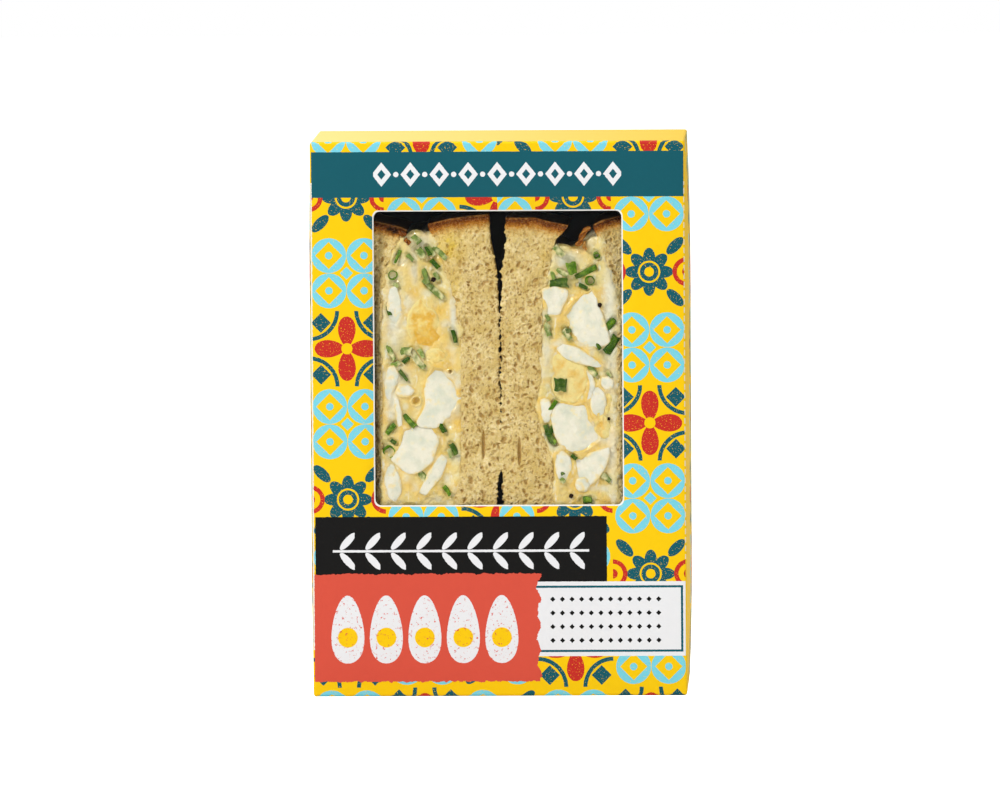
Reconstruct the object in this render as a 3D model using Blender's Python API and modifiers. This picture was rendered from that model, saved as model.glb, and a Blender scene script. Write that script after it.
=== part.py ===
# A windowed sandwich carton, upright on its base, with two halves of an egg and chive
# sandwich standing side by side in it, their cut faces to the window.
# Metres, +Z up, the window faces -Y, and the origin is the middle of the base.

import math
import random

import bmesh
import bpy
from mathutils import Euler, Matrix, Vector, noise

# Carton
WIDTH = 0.101
DEPTH = 0.060
HEIGHT = 0.150
BOARD = 0.0006
FOLD_RADIUS = 0.0008
SIDE_BULGE = 0.0010

# Window and the film glued behind it
WINDOW_WIDTH = 0.0668
WINDOW_BOTTOM = 0.0518
WINDOW_TOP = 0.1312
WINDOW_CORNER = 0.0015
FILM = 0.0003
FILM_MARGIN = 0.006

# Gap kept between pieces that touch
GAP = 0.0003

# Sandwich halves
CUT_FACE = -DEPTH / 2 + BOARD + GAP + FILM + 0.0004
BACK = DEPTH / 2 - BOARD - 0.0015
FLOOR = BOARD + GAP
RIDGE = 0.1256
CORNER = 0.011
OUTER_SLICE = 0.0135
PINCH_AT_BACK = 0.14
CORE_SET_BACK = 0.0011
CLEAR_OF_BREAD = 0.0007
RELIEF = 0.0005

# Outlines of the layers at the cut face, bottom to top, as (height, x)
LEFT_OUTER_TO_FILLING = [
    (0.0, -0.0290), (0.012, -0.0304), (0.028, -0.0313), (0.096, -0.0312), (0.1045, -0.0313),
    (0.1099, -0.0307), (0.1153, -0.0296), (0.1207, -0.0285), (0.1235, -0.0262), (0.127, -0.0238),
]
LEFT_FILLING_TO_INNER = [
    (0.0, -0.0144), (0.012, -0.0128), (0.028, -0.0118), (0.0532, -0.0122), (0.0613, -0.0105),
    (0.096, -0.0103), (0.1045, -0.0115), (0.1126, -0.0140), (0.118, -0.0155), (0.1234, -0.0169),
    (0.127, -0.0190),
]
LEFT_OF_GAP = [
    (0.0, -0.0012), (0.0532, -0.0006), (0.062, 0.0000), (0.080, 0.0003), (0.107, 0.0002),
    (0.1153, -0.0004), (0.1234, -0.0020), (0.1304, -0.0023),
]
RIGHT_OF_GAP = [
    (0.0, 0.0016), (0.0532, 0.0011), (0.062, 0.0006), (0.080, 0.0006), (0.107, 0.0007),
    (0.1153, 0.0010), (0.1234, 0.0021), (0.1304, 0.0019),
]
RIGHT_INNER_TO_FILLING = [
    (0.0, 0.0172), (0.012, 0.0158), (0.028, 0.0148), (0.0586, 0.0151), (0.064, 0.0144),
    (0.0694, 0.0125), (0.0748, 0.0109), (0.0802, 0.0104), (0.0856, 0.0116), (0.107, 0.0122),
    (0.1126, 0.0138), (0.118, 0.0144), (0.1234, 0.0158), (0.127, 0.0190),
]
RIGHT_FILLING_TO_OUTER = [
    (0.0, 0.0292), (0.012, 0.0305), (0.028, 0.0314), (0.058, 0.0317), (0.1018, 0.0320),
    (0.1099, 0.0312), (0.118, 0.0290), (0.1234, 0.0272), (0.127, 0.0256),
]

# Heights of the top, as (x, height)
LEFT_TOP = [
    (-0.045, 0.1285), (-0.033, 0.1285), (-0.026, 0.1268), (-0.0236, 0.1256), (-0.0190, 0.1277),
    (-0.013, 0.1291), (-0.007, 0.1299), (-0.002, 0.1304),
]
RIGHT_TOP = [
    (0.002, 0.1293), (0.010, 0.1293), (0.014, 0.1282), (0.0190, 0.1272), (0.0256, 0.1272),
    (0.028, 0.1285), (0.031, 0.1293), (0.034, 0.1301), (0.045, 0.1301),
]

# What shows in the filling at the cut, as (x, height, width, tall, turn in degrees, sides)
LEFT_EGG_WHITES = [
    (-0.0158, 0.0810, 0.0086, 0.0150, 6, 8), (-0.0208, 0.0795, 0.0060, 0.0052, 20, 6),
    (-0.0222, 0.0668, 0.0122, 0.0114, 10, 8), (-0.0262, 0.0935, 0.0050, 0.0088, -12, 7),
    (-0.0160, 0.0585, 0.0070, 0.0062, 30, 7), (-0.0270, 0.0560, 0.0058, 0.0072, 0, 6),
    (-0.0235, 0.1105, 0.0062, 0.0050, 25, 6),
]
RIGHT_EGG_WHITES = [
    (0.0160, 0.1069, 0.0062, 0.0074, 10, 7), (0.0246, 0.1010, 0.0096, 0.0142, -24, 6),
    (0.0212, 0.0922, 0.0130, 0.0056, -6, 7), (0.0209, 0.0720, 0.0140, 0.0146, 15, 8),
    (0.0128, 0.0764, 0.0030, 0.0072, 0, 6), (0.0250, 0.0608, 0.0100, 0.0102, 40, 7),
    (0.0262, 0.0845, 0.0058, 0.0066, 0, 6), (0.0185, 0.0555, 0.0050, 0.0058, 30, 6),
]
LEFT_YOLKS = [
    (-0.0197, 0.1000, 0.0092, 0.0160, -4, 9), (-0.0278, 0.0760, 0.0044, 0.0070, 0, 7),
    (-0.0150, 0.0700, 0.0056, 0.0066, 15, 7),
]
RIGHT_YOLKS = [
    (0.0178, 0.0852, 0.0096, 0.0098, 0, 10), (0.0278, 0.0735, 0.0046, 0.0078, -20, 7),
    (0.0290, 0.0945, 0.0040, 0.0080, 0, 7),
]

# Chives at the cut, as (x, height, length, turn in degrees, tip towards the window in degrees)
CHIVE = 0.0026
LEFT_CHIVES = [
    (-0.0272, 0.1188, 0.0034, 80, 20), (-0.0284, 0.1143, 0.0026, 70, 45),
    (-0.0190, 0.1205, 0.0040, 88, 10), (-0.0170, 0.1170, 0.0024, 10, 70),
    (-0.0178, 0.1130, 0.0056, 60, 30), (-0.0293, 0.1045, 0.0026, 80, 60),
    (-0.0258, 0.0920, 0.0064, 10, 15), (-0.0242, 0.0866, 0.0058, -20, 25),
    (-0.0240, 0.0746, 0.0036, 25, 50), (-0.0154, 0.0728, 0.0026, 0, 80),
    (-0.0292, 0.0724, 0.0028, 70, 40), (-0.0301, 0.0664, 0.0034, 85, 55),
    (-0.0206, 0.0599, 0.0038, 50, 30), (-0.0124, 0.0668, 0.0032, 85, 20),
    (-0.0142, 0.0553, 0.0022, 80, 60),
]
RIGHT_CHIVES = [
    (0.0172, 0.1196, 0.0030, 20, 40), (0.0200, 0.1158, 0.0036, 80, 20),
    (0.0234, 0.1145, 0.0060, -4, 10), (0.0166, 0.1113, 0.0042, -12, 20),
    (0.0250, 0.1124, 0.0024, 0, 80), (0.0166, 0.0842, 0.0038, 5, 30),
    (0.0146, 0.0788, 0.0026, 60, 40), (0.0136, 0.0706, 0.0048, 70, 20),
    (0.0298, 0.1008, 0.0034, 40, 30), (0.0304, 0.0950, 0.0052, -60, 15),
    (0.0182, 0.0975, 0.0028, 90, 50), (0.0206, 0.0648, 0.0018, 0, 70),
    (0.0294, 0.0580, 0.0042, 60, 25), (0.0238, 0.0533, 0.0026, 30, 60),
]

# Below the window, drawn pieces
DRAWN_PITCH = 0.0080
DRAWN_TOP = 0.0480


def level(points, at):
    # The value at this place on the line through (place, value) points
    if at <= points[0][0]:
        return points[0][1]
    for (start, first), (end, last) in zip(points, points[1:]):
        if at <= end:
            return first + (last - first) * (at - start) / (end - start)
    return points[-1][1]


def material(name, colour, roughness, metallic=0.0, alpha=1.0):
    made = bpy.data.materials.new(name)
    made.use_nodes = True
    shader = made.node_tree.nodes["Principled BSDF"]
    shader.inputs["Base Color"].default_value = (*colour, 1.0)
    shader.inputs["Roughness"].default_value = roughness
    shader.inputs["Metallic"].default_value = metallic
    shader.inputs["Alpha"].default_value = alpha
    return made


def add_object(name, shape, collection, finish=None):
    # Makes the bmesh an object at the origin
    bmesh.ops.recalc_face_normals(shape, faces=shape.faces)
    mesh = bpy.data.meshes.new(name)
    shape.to_mesh(mesh)
    shape.free()
    made = bpy.data.objects.new(name, mesh)
    if finish:
        mesh.materials.append(finish)
    collection.objects.link(made)
    return made


def grid_box(across, deep, tall):
    # A closed unit cube cut into cells at these fractions of each side
    shape = bmesh.new()
    bmesh.ops.create_cube(shape, size=1.0, matrix=Matrix.Translation((0.5, 0.5, 0.5)))
    for axis, fractions in enumerate((across, deep, tall)):
        normal = Vector((0.0, 0.0, 0.0))
        normal[axis] = 1.0
        for fraction in fractions:
            everything = [*shape.verts, *shape.edges, *shape.faces]
            bmesh.ops.bisect_plane(
                shape, geom=everything, dist=1e-6, plane_co=normal * fraction, plane_no=normal
            )
    return shape


def even(count):
    return [i / count for i in range(1, count)]


def add_boolean(target, name, operation, cutter):
    cut = target.modifiers.new(name, "BOOLEAN")
    cut.operation = operation
    cut.object = cutter
    cut.solver = "EXACT"


def carton_point(u, v, w, inset):
    # The box with side walls that swell outward between their folds
    y = (v - 0.5) * (DEPTH - 2 * inset)
    z = inset + w * (HEIGHT - 2 * inset)
    side = 2 * u - 1
    swell = (1 - abs(2 * y / DEPTH) ** 3) * (1 - abs(2 * z / HEIGHT - 1) ** 6)
    return Vector((side * (WIDTH / 2 - inset + SIDE_BULGE * swell), y, z))


def carton_box(name, inset, collection, finish=None):
    shape = grid_box([], even(6), even(8))
    for vert in shape.verts:
        vert.co = carton_point(*vert.co, inset)
    return add_object(name, shape, collection, finish)


def build_carton(parts, cutters):
    board = material("Printed board", (0.955, 0.640, 0.000), 0.45)
    carton = carton_box("carton", 0.0, parts, board)
    folds = carton.modifiers.new("Folds", "BEVEL")
    folds.width = FOLD_RADIUS
    folds.segments = 2
    folds.limit_method = "ANGLE"
    folds.angle_limit = math.radians(60)

    hollow = carton_box("Hollow cutter", BOARD, cutters)
    window = bmesh.new()
    middle = Vector((0, -DEPTH / 2, (WINDOW_TOP + WINDOW_BOTTOM) / 2))
    size = Vector((WINDOW_WIDTH, 0.006, WINDOW_TOP - WINDOW_BOTTOM))
    bmesh.ops.create_cube(
        window, size=1.0, matrix=Matrix.Translation(middle) @ Matrix.Diagonal((*size, 1))
    )
    corners = [e for e in window.edges if abs((e.verts[0].co - e.verts[1].co).y) > 0.001]
    bmesh.ops.bevel(window, geom=corners, offset=WINDOW_CORNER, segments=4, profile=0.5)
    window = add_object("Window cutter", window, cutters)

    add_boolean(carton, "Hollow", "DIFFERENCE", hollow)
    add_boolean(carton, "Window", "DIFFERENCE", window)
    carton.data.shade_smooth()
    carton.data.set_sharp_from_angle(angle=math.radians(30))


def build_film(parts):
    clear = material("Clear film", (0.95, 0.95, 0.95), 0.08, alpha=0.15)
    film = bmesh.new()
    size = Vector((
        WINDOW_WIDTH + 2 * FILM_MARGIN, FILM, WINDOW_TOP - WINDOW_BOTTOM + 2 * FILM_MARGIN
    ))
    middle = Vector((
        0, -DEPTH / 2 + BOARD + GAP + FILM / 2, (WINDOW_TOP + WINDOW_BOTTOM) / 2
    ))
    bmesh.ops.create_cube(
        film, size=1.0, matrix=Matrix.Translation(middle) @ Matrix.Diagonal((*size, 1))
    )
    add_object("window_film", film, parts, clear)


def corner_drop(y):
    # How far the crust's rounded back corners come in from the top and the bottom
    past = y - (BACK - CORNER)
    if past <= 0:
        return 0.0
    return CORNER - math.sqrt(max(CORNER ** 2 - past ** 2, 0.0))


def layer_point(u, v, w, layer):
    # A place in one layer of a half, from its fractions across, back and up
    y = CUT_FACE + v * (BACK - CUT_FACE) + (layer["set_back"] if v < 0.001 else 0.0)
    drop = corner_drop(y)
    row = FLOOR + drop + w * (RIDGE - FLOOR - 2 * drop)
    centre = layer["centre"]
    squeeze = 1 - PINCH_AT_BACK * max(0.0, (y - CUT_FACE) / (BACK - CUT_FACE)) ** 2
    left = level(layer["left"], row) + layer["left_gap"]
    right = level(layer["right"], row) - layer["right_gap"]
    across = left + u * (right - left)
    x = centre + (across - centre) * squeeze
    z = level(layer["top"], x) - drop if w > 0.999 else row
    if "most" in layer:
        z = min(z, layer["most"] - drop)
    wobble = noise.noise_vector(Vector((x, y, z)) * 90) * RELIEF
    inside = 0.15 < u < 0.85
    bumps = Vector((
        0.0,
        abs(wobble.y) if v < 0.001 else 0.0,
        wobble.z * 1.6 - RELIEF if w > 0.999 and inside else 0.0,
    ))
    return Vector((x, y, z)) + bumps


def layer_shape(layer, across, deep, tall):
    shape = grid_box(across, deep, tall)
    for vert in shape.verts:
        vert.co = layer_point(*vert.co, layer)
    return shape


ROWS_TO_SHOW = [0.05, 0.11, 0.20, 0.30, 0.42] + [0.47 + 0.048 * i for i in range(11)]
DEEP_ROWS = [0.2, 0.5, 0.78, 0.88, 0.95]


def build_slices(parts):
    crumb = material("White bread crumb", (0.76, 0.58, 0.30), 0.85)
    left_centre = (LEFT_OUTER_TO_FILLING[3][1] - OUTER_SLICE) / 2
    right_centre = (RIGHT_FILLING_TO_OUTER[4][1] + OUTER_SLICE) / 2
    outer_left = [(height, x - OUTER_SLICE) for height, x in LEFT_OUTER_TO_FILLING[3:5]]
    outer_right = [(height, x + OUTER_SLICE) for height, x in RIGHT_FILLING_TO_OUTER[3:5]]
    edges = {
        "left_outer_slice": (outer_left, LEFT_OUTER_TO_FILLING, LEFT_TOP, left_centre),
        "left_inner_slice": (LEFT_FILLING_TO_INNER, LEFT_OF_GAP, LEFT_TOP, left_centre),
        "right_inner_slice": (RIGHT_OF_GAP, RIGHT_INNER_TO_FILLING, RIGHT_TOP, right_centre),
        "right_outer_slice": (RIGHT_FILLING_TO_OUTER, outer_right, RIGHT_TOP, right_centre),
    }
    for name, (left, right, top, centre) in edges.items():
        layer = {
            "left": left, "right": right, "top": top, "centre": centre,
            "left_gap": GAP / 2, "right_gap": GAP / 2, "set_back": 0.0,
        }
        shape = layer_shape(layer, even(3), DEEP_ROWS, ROWS_TO_SHOW)
        slice_object = add_object(name, shape, parts, crumb)
        slice_object.data.shade_smooth()
        slice_object.data.set_sharp_from_angle(angle=math.radians(50))


def move_inside(shape, left, right):
    # Shifts a piece that would cross into the bread
    over_left = max(level(left, vert.co.z) + CLEAR_OF_BREAD - vert.co.x for vert in shape.verts)
    over_right = max(vert.co.x + CLEAR_OF_BREAD - level(right, vert.co.z) for vert in shape.verts)
    shift = max(over_left, 0.0) - max(over_right, 0.0)
    bmesh.ops.translate(shape, vec=(shift, 0, 0), verts=shape.verts)


def add_chunk(name, x, z, width, tall, turn, sides, depth, left, right, collection):
    # A cut piece of egg, flat at the cut face and narrower behind
    shape = bmesh.new()
    bmesh.ops.create_cone(
        shape, cap_ends=True, segments=sides, radius1=0.5, radius2=0.42, depth=1.0
    )
    turned = Euler((math.radians(-90), math.radians(turn), 0)).to_matrix().to_4x4()
    size = Matrix.Diagonal((width, tall, depth, 1))
    place = Matrix.Translation((x, CUT_FACE + depth / 2, z))
    bmesh.ops.transform(shape, matrix=place @ turned @ size, verts=shape.verts)
    move_inside(shape, left, right)
    add_object(name, shape, collection)


def add_chive(name, x, z, length, turn, lean, left, right, collection):
    # A short length of chive, lying along the face or with its end to the window
    shape = bmesh.new()
    bmesh.ops.create_cone(
        shape, cap_ends=True, segments=7, radius1=CHIVE / 2, radius2=CHIVE / 2, depth=length
    )
    along = Euler((0, math.radians(90), 0)).to_matrix()
    lean_in = Euler((0, 0, math.radians(lean))).to_matrix()
    spin = Euler((0, math.radians(turn), 0)).to_matrix()
    turned = (spin @ lean_in @ along).to_4x4()
    bmesh.ops.transform(shape, matrix=turned, verts=shape.verts)
    nearest = min(vert.co.y for vert in shape.verts)
    place = Matrix.Translation((x, CUT_FACE + 0.0002 - nearest, z))
    bmesh.ops.transform(shape, matrix=place, verts=shape.verts)
    move_inside(shape, left, right)
    add_object(name, shape, collection)


def drawn_pieces(left, right, seed):
    # Egg and chives for the part of the filling under the window, on a loose grid
    draw = random.Random(seed)
    eggs = []
    chives = []
    rows = int((DRAWN_TOP - FLOOR) / DRAWN_PITCH)
    for row in range(rows):
        z = FLOOR + DRAWN_PITCH * (row + 0.7)
        low = level(left, z)
        across = level(right, z) - low
        for column in (0.3, 0.7):
            x = low + across * (column + draw.uniform(-0.08, 0.08))
            tall = draw.uniform(0.0050, 0.0080)
            eggs.append((x, z, draw.uniform(0.0050, 0.0085), tall, draw.uniform(0, 40), 7))
            x = low + across * draw.uniform(0.15, 0.85)
            height = z + draw.uniform(-0.004, 0.004)
            length = draw.uniform(0.0022, 0.0045)
            chives.append((x, height, length, draw.uniform(0, 90), draw.uniform(15, 60)))
    return eggs, chives


def keep_main_body(target):
    # Drops loose scraps and sealed hollows, which a union can leave
    shape = bmesh.new()
    shape.from_mesh(target.data)
    bmesh.ops.remove_doubles(shape, verts=shape.verts, dist=0.00001)
    left_over = set(shape.verts)
    bodies = []
    while left_over:
        found = {left_over.pop()}
        edge_of_search = list(found)
        while edge_of_search:
            vert = edge_of_search.pop()
            for edge in vert.link_edges:
                other = edge.other_vert(vert)
                if other not in found:
                    found.add(other)
                    edge_of_search.append(other)
        left_over -= found
        bodies.append(found)
    bodies.sort(key=len)
    for body in bodies[:-1]:
        bmesh.ops.delete(shape, geom=list(body), context="VERTS")
    shape.to_mesh(target.data)
    shape.free()


def build_filling(name, left, right, top, most, eggs, yolks, chives, seed, parts, pieces):
    mayonnaise = material(name + " mayonnaise", (0.85, 0.66, 0.28), 0.30)
    layer = {
        "left": left, "right": right, "top": top, "most": most,
        "centre": (left[3][1] + right[3][1]) / 2,
        "left_gap": GAP, "right_gap": GAP, "set_back": CORE_SET_BACK,
    }
    shape = layer_shape(layer, even(5), DEEP_ROWS, ROWS_TO_SHOW)
    core = add_object(name, shape, parts, mayonnaise)
    drawn_eggs, drawn_chives = drawn_pieces(left, right, seed)
    for i, chunk in enumerate(eggs + yolks + drawn_eggs):
        depth = 0.0030 + 0.00011 * i
        add_chunk(f"{name} chunk {i}", *chunk, depth, left, right, pieces)
    for i, chive in enumerate(chives + drawn_chives):
        add_chive(f"{name} chive {i}", *chive, left, right, pieces)

    fuse = core.modifiers.new("Fuse", "BOOLEAN")
    fuse.operation = "UNION"
    fuse.operand_type = "COLLECTION"
    fuse.collection = pieces
    fuse.solver = "EXACT"
    fuse.use_self = True
    view = bpy.context.view_layer
    view.update()
    fused = bpy.data.meshes.new_from_object(core.evaluated_get(view.depsgraph))
    core.modifiers.clear()
    core.data = fused
    for piece in list(pieces.objects):
        bpy.data.objects.remove(piece)
    keep_main_body(core)


def build_fillings(parts, pieces):
    build_filling(
        "left_filling", LEFT_OUTER_TO_FILLING, LEFT_FILLING_TO_INNER, LEFT_TOP, 0.1252,
        LEFT_EGG_WHITES, LEFT_YOLKS, LEFT_CHIVES, 3, parts, pieces,
    )
    build_filling(
        "right_filling", RIGHT_INNER_TO_FILLING, RIGHT_FILLING_TO_OUTER, RIGHT_TOP, 0.1236,
        RIGHT_EGG_WHITES, RIGHT_YOLKS, RIGHT_CHIVES, 8, parts, pieces,
    )


def new_collection(name):
    made = bpy.data.collections.new(name)
    bpy.context.scene.collection.children.link(made)
    return made


def main():
    for obj in list(bpy.data.objects):
        bpy.data.objects.remove(obj)
    parts = new_collection("Packed egg sandwich")
    cutters = new_collection("Cutters")
    pieces = new_collection("Pieces to fuse")
    build_carton(parts, cutters)
    build_film(parts)
    build_slices(parts)
    build_fillings(parts, pieces)
    for cutter in cutters.objects:
        cutter.hide_render = True
        cutter.display_type = "WIRE"
    bpy.data.collections.remove(pieces)


main()
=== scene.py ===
# An egg and chive sandwich in its windowed carton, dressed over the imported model.
# Two halves stand side by side in a printed board box, their cut faces to the film.
# Metres, +Z up, the window faces -Y, and the origin is the middle of the base.

import math
import random

import bmesh
import bpy
import numpy as np
from mathutils import Euler, Matrix, Vector


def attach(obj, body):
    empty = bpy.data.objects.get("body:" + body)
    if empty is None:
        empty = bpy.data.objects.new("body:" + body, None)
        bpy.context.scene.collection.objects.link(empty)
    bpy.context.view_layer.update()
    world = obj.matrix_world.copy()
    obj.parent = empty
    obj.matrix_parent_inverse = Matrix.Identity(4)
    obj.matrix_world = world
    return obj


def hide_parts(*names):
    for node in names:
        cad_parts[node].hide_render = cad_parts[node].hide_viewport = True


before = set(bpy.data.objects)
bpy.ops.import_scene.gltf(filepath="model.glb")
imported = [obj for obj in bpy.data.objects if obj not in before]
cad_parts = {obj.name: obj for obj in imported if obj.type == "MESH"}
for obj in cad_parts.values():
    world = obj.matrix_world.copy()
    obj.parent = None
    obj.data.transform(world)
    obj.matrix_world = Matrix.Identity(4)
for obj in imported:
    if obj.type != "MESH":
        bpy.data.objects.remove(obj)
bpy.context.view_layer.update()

mm = 0.001


def linear(hexColour):
    # sRGB hex to the linear colour that a shader reads
    parts = [int(hexColour[i:i + 2], 16) / 255 for i in (1, 3, 5)]
    return (*[c / 12.92 if c <= 0.04045 else ((c + 0.055) / 1.055) ** 2.4 for c in parts], 1.0)


def addNode(tree, kind, inputs=None, **settings):
    # Adds a node with its settings, and links or values for its sockets
    node = tree.nodes.new("ShaderNode" + kind)
    for name, value in settings.items():
        setattr(node, name, value)
    for name, value in (inputs or {}).items():
        if isinstance(value, bpy.types.NodeSocket):
            tree.links.new(value, node.inputs[name])
        else:
            node.inputs[name].default_value = value
    return node


class Field:
    # A number that varies over a surface, so that a pattern reads as plain arithmetic
    def __init__(self, tree, socket):
        self.tree = tree
        self.socket = socket

    def apply(self, operation, *others):
        inputs = {0: self.socket}
        for i, other in enumerate(others, 1):
            inputs[i] = getattr(other, "socket", other)
        node = addNode(self.tree, "Math", inputs, operation=operation)
        return Field(self.tree, node.outputs[0])

    def __add__(self, other):
        return self.apply("ADD", other)

    def __sub__(self, other):
        return self.apply("SUBTRACT", other)

    def __mul__(self, other):
        return self.apply("MULTIPLY", other)

    def __abs__(self):
        return self.apply("ABSOLUTE")

    def __lt__(self, other):
        return self.apply("LESS_THAN", other)

    def __gt__(self, other):
        return self.apply("GREATER_THAN", other)

    def __and__(self, other):
        return self.apply("MULTIPLY", other)

    def __or__(self, other):
        return self.apply("MAXIMUM", other)

    def __invert__(self):
        return self.apply("MULTIPLY_ADD", -1.0, 1.0)


def noiseField(tree, place, perMm, detail=2.0, rough=0.5):
    # Noise from 0 to 1 whose lumps are 1 / perMm millimetres across, on a place in millimetres
    made = addNode(tree, "TexNoise", {
        "Vector": place, "Scale": perMm, "Detail": detail, "Roughness": rough,
    })
    return Field(tree, made.outputs["Fac"])


def placeInMm(tree):
    # The piece's own coordinates in millimetres
    own = addNode(tree, "TexCoord").outputs["Object"]
    return addNode(tree, "VectorMath", {0: own, 3: 1000.0}, operation="SCALE").outputs[0]


def attribute(tree, name):
    return Field(tree, addNode(tree, "Attribute", attribute_name=name).outputs["Fac"])


def over(tree, under, amount, top):
    # One colour laid over another by an amount from 0 to 1
    under, top = [linear(c) if isinstance(c, str) else c for c in (under, top)]
    share = getattr(amount, "socket", amount)
    return addNode(tree, "Mix", {0: share, 6: under, 7: top}, data_type="RGBA").outputs[2]


def layered(tree, colour, *rows):
    # Colours laid over one another, each by a field times a gain plus an offset
    for field, gain, offset, top in rows:
        colour = over(tree, colour, field.apply("MULTIPLY_ADD", gain, offset), top)
    return colour


def newMaterial(name, settings):
    # A material with these values on the shader's own sockets
    made = bpy.data.materials.new(name)
    made.use_nodes = True
    shader = made.node_tree.nodes["Principled BSDF"]
    for socket, value in settings.items():
        shader.inputs[socket].default_value = value
    return made, made.node_tree, shader


def setSurface(tree, shader, colour, height, distance):
    # The colour, and relief of this many metres
    tree.links.new(colour, shader.inputs["Base Color"])
    made = addNode(tree, "Bump", {"Height": height.socket, "Distance": distance})
    tree.links.new(made.outputs[0], shader.inputs["Normal"])


def newObject(name, data):
    made = bpy.data.objects.new(name, data)
    bpy.context.scene.collection.objects.link(made)
    return made


def addPiece(name, mesh, materials, slot, *nodes):
    made = newObject(name, mesh)
    for material in materials:
        mesh.materials.append(material)
    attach(made, "root")
    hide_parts(*nodes)


def meshFrom(shape, name):
    mesh = bpy.data.meshes.new(name)
    shape.to_mesh(mesh)
    shape.free()
    return mesh


def coordinates(mesh):
    found = np.empty(len(mesh.vertices) * 3)
    mesh.vertices.foreach_get("co", found)
    return found.reshape(-1, 3)


def moveTo(mesh, x, y, z):
    # Puts the vertices at these places in millimetres
    places = np.stack([x, y, z], axis=1) * mm
    mesh.vertices.foreach_set("co", places.astype(np.float32).ravel())
    mesh.update()


def writeAttributes(mesh, **fields):
    for name, values in fields.items():
        made = mesh.attributes.new(name, "FLOAT", "POINT")
        made.data.foreach_set("value", np.asarray(values, np.float32))


def applied(mesh, *modifiers):
    # The mesh after these modifiers, given as (kind, settings)
    holder = newObject("holder", mesh)
    for kind, settings in modifiers:
        modifier = holder.modifiers.new(kind, kind)
        for name, value in settings.items():
            setattr(modifier, name, value)
    layer = bpy.context.view_layer
    layer.update()
    made = bpy.data.meshes.new_from_object(holder.evaluated_get(layer.depsgraph))
    bpy.data.objects.remove(holder)
    return made


def flatGrid(columns, rows):
    # A grid one unit wide and high
    shape = bmesh.new()
    bmesh.ops.create_grid(shape, x_segments=columns, y_segments=rows, size=0.5)
    return shape


def standUp(shape):
    # Turns what lies flat to face the window
    lift = Euler((math.radians(90), 0, 0)).to_matrix().to_4x4()
    bmesh.ops.transform(shape, matrix=lift, verts=shape.verts)


def cutThrough(shape, place, normal, tolerance):
    bmesh.ops.bisect_plane(
        shape, geom=[*shape.verts, *shape.edges, *shape.faces], dist=tolerance,
        plane_co=place, plane_no=normal,
    )


# Camera, light and floor

view = {
    "azimuth": 1.6, "distance": 3.5, "height": 0.332,
    "lens": 464.5, "aim": (0.0004, -0.030, 0.0802), "roll": -0.36,
}
sideways = math.radians(view["azimuth"])
camera = newObject("camera", bpy.data.cameras.new("camera"))
camera.data.lens = view["lens"]
camera.data.clip_end = 20.0
camera.location = (
    view["distance"] * math.sin(sideways), -view["distance"] * math.cos(sideways), view["height"]
)
aimed = (Vector(view["aim"]) - camera.location).to_track_quat("-Z", "Y").to_matrix()
rolled = Matrix.Rotation(math.radians(view["roll"]), 3, "Z")
camera.rotation_euler = (aimed @ rolled).to_euler()
bpy.context.scene.camera = camera
bpy.context.scene.view_settings.view_transform = "Standard"

studio = {
    "world": 0.28,
    "aim": (0.0, 0.0, 0.08),
    "lights": [
        # name, place, size, watts
        ("key", (-1.25, -1.15, 1.45), 0.55, 34.0),
        ("fill", (2.2, -1.15, 0.6), 1.3, 15.0),
        ("top", (0.15, 0.25, 1.5), 0.9, 13.0),
        ("glint", (-0.35, -2.2, 1.5), 0.08, 7.0),
    ],
}
world = bpy.data.worlds.new("studio")
world.use_nodes = True
backdrop = world.node_tree.nodes["Background"]
backdrop.inputs[0].default_value = (1.0, 1.0, 1.0, 1.0)
# The backdrop is white where it is seen, and lights the object less than it would
rays = addNode(world.node_tree, "LightPath")
seen = Field(world.node_tree, rays.outputs["Is Camera Ray"])
brightness = seen * (1.0 - studio["world"]) + studio["world"]
world.node_tree.links.new(brightness.socket, backdrop.inputs[1])
bpy.context.scene.world = world
for name, place, size, watts in studio["lights"]:
    lamp = newObject(name, bpy.data.lights.new(name, "AREA"))
    lamp.data.size = size
    lamp.data.energy = watts
    lamp.location = place
    aim = Vector(studio["aim"]) - lamp.location
    lamp.rotation_euler = aim.to_track_quat("-Z", "Y").to_euler()

floorShape = bmesh.new()
bmesh.ops.create_grid(floorShape, x_segments=2, y_segments=2, size=4.0)
floorObject = newObject("floor", meshFrom(floorShape, "floor"))
# White seamless paper: matt and a little brighter than the light on it
paper, tree, shader = newMaterial("matt white background paper", {
    "Base Color": linear("#F2F2F2"), "Roughness": 0.9, "Emission Color": (1.0, 1.0, 1.0, 1.0),
})
rays = addNode(tree, "LightPath")
tree.links.new(rays.outputs["Is Camera Ray"], shader.inputs["Emission Strength"])
floorObject.data.materials.append(paper)
print("camera, light and floor")


# Carton, in millimetres

carton = {
    "width": 101.0,
    "depth": 60.0,
    "height": 150.0,
    "board": 0.6,
    "fold": 0.8,
    "bulge": 1.0,
    "window": (66.8, 51.8, 131.2, 1.5),  # width, bottom, top, corner radius
    "cutEdge": (0.34, 0.25),  # width and depth of the crushed white edge round the window
    "seam": 1.3,  # how far behind the front the front piece ends
    "tile": 20.4,
}
inks = {
    "ground": "#E8BC00",
    # Pale cream laid over the top panel as painted glare from the light above
    "topGlare": "#F3DC8C",
    "teal": "#0F525D",
    "blue": "#6FC3D3",
    "red": "#B92A20",
    "black": "#0F0E0D",
    "field": "#C94C3A",
    "white": "#DADADB",
    "board": "#D9D6CC",
}
seam = (-carton["depth"] / 2 + carton["seam"]) * mm


def between(field, low, high):
    return (field > low) & (field < high)


def squared(x, y):
    return x * x + y * y


def inked(tree, colour, *rows):
    # Inks printed over one another, each where its field is 1
    for where, ink in rows:
        colour = over(tree, colour, where, inks[ink])
    return colour


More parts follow.
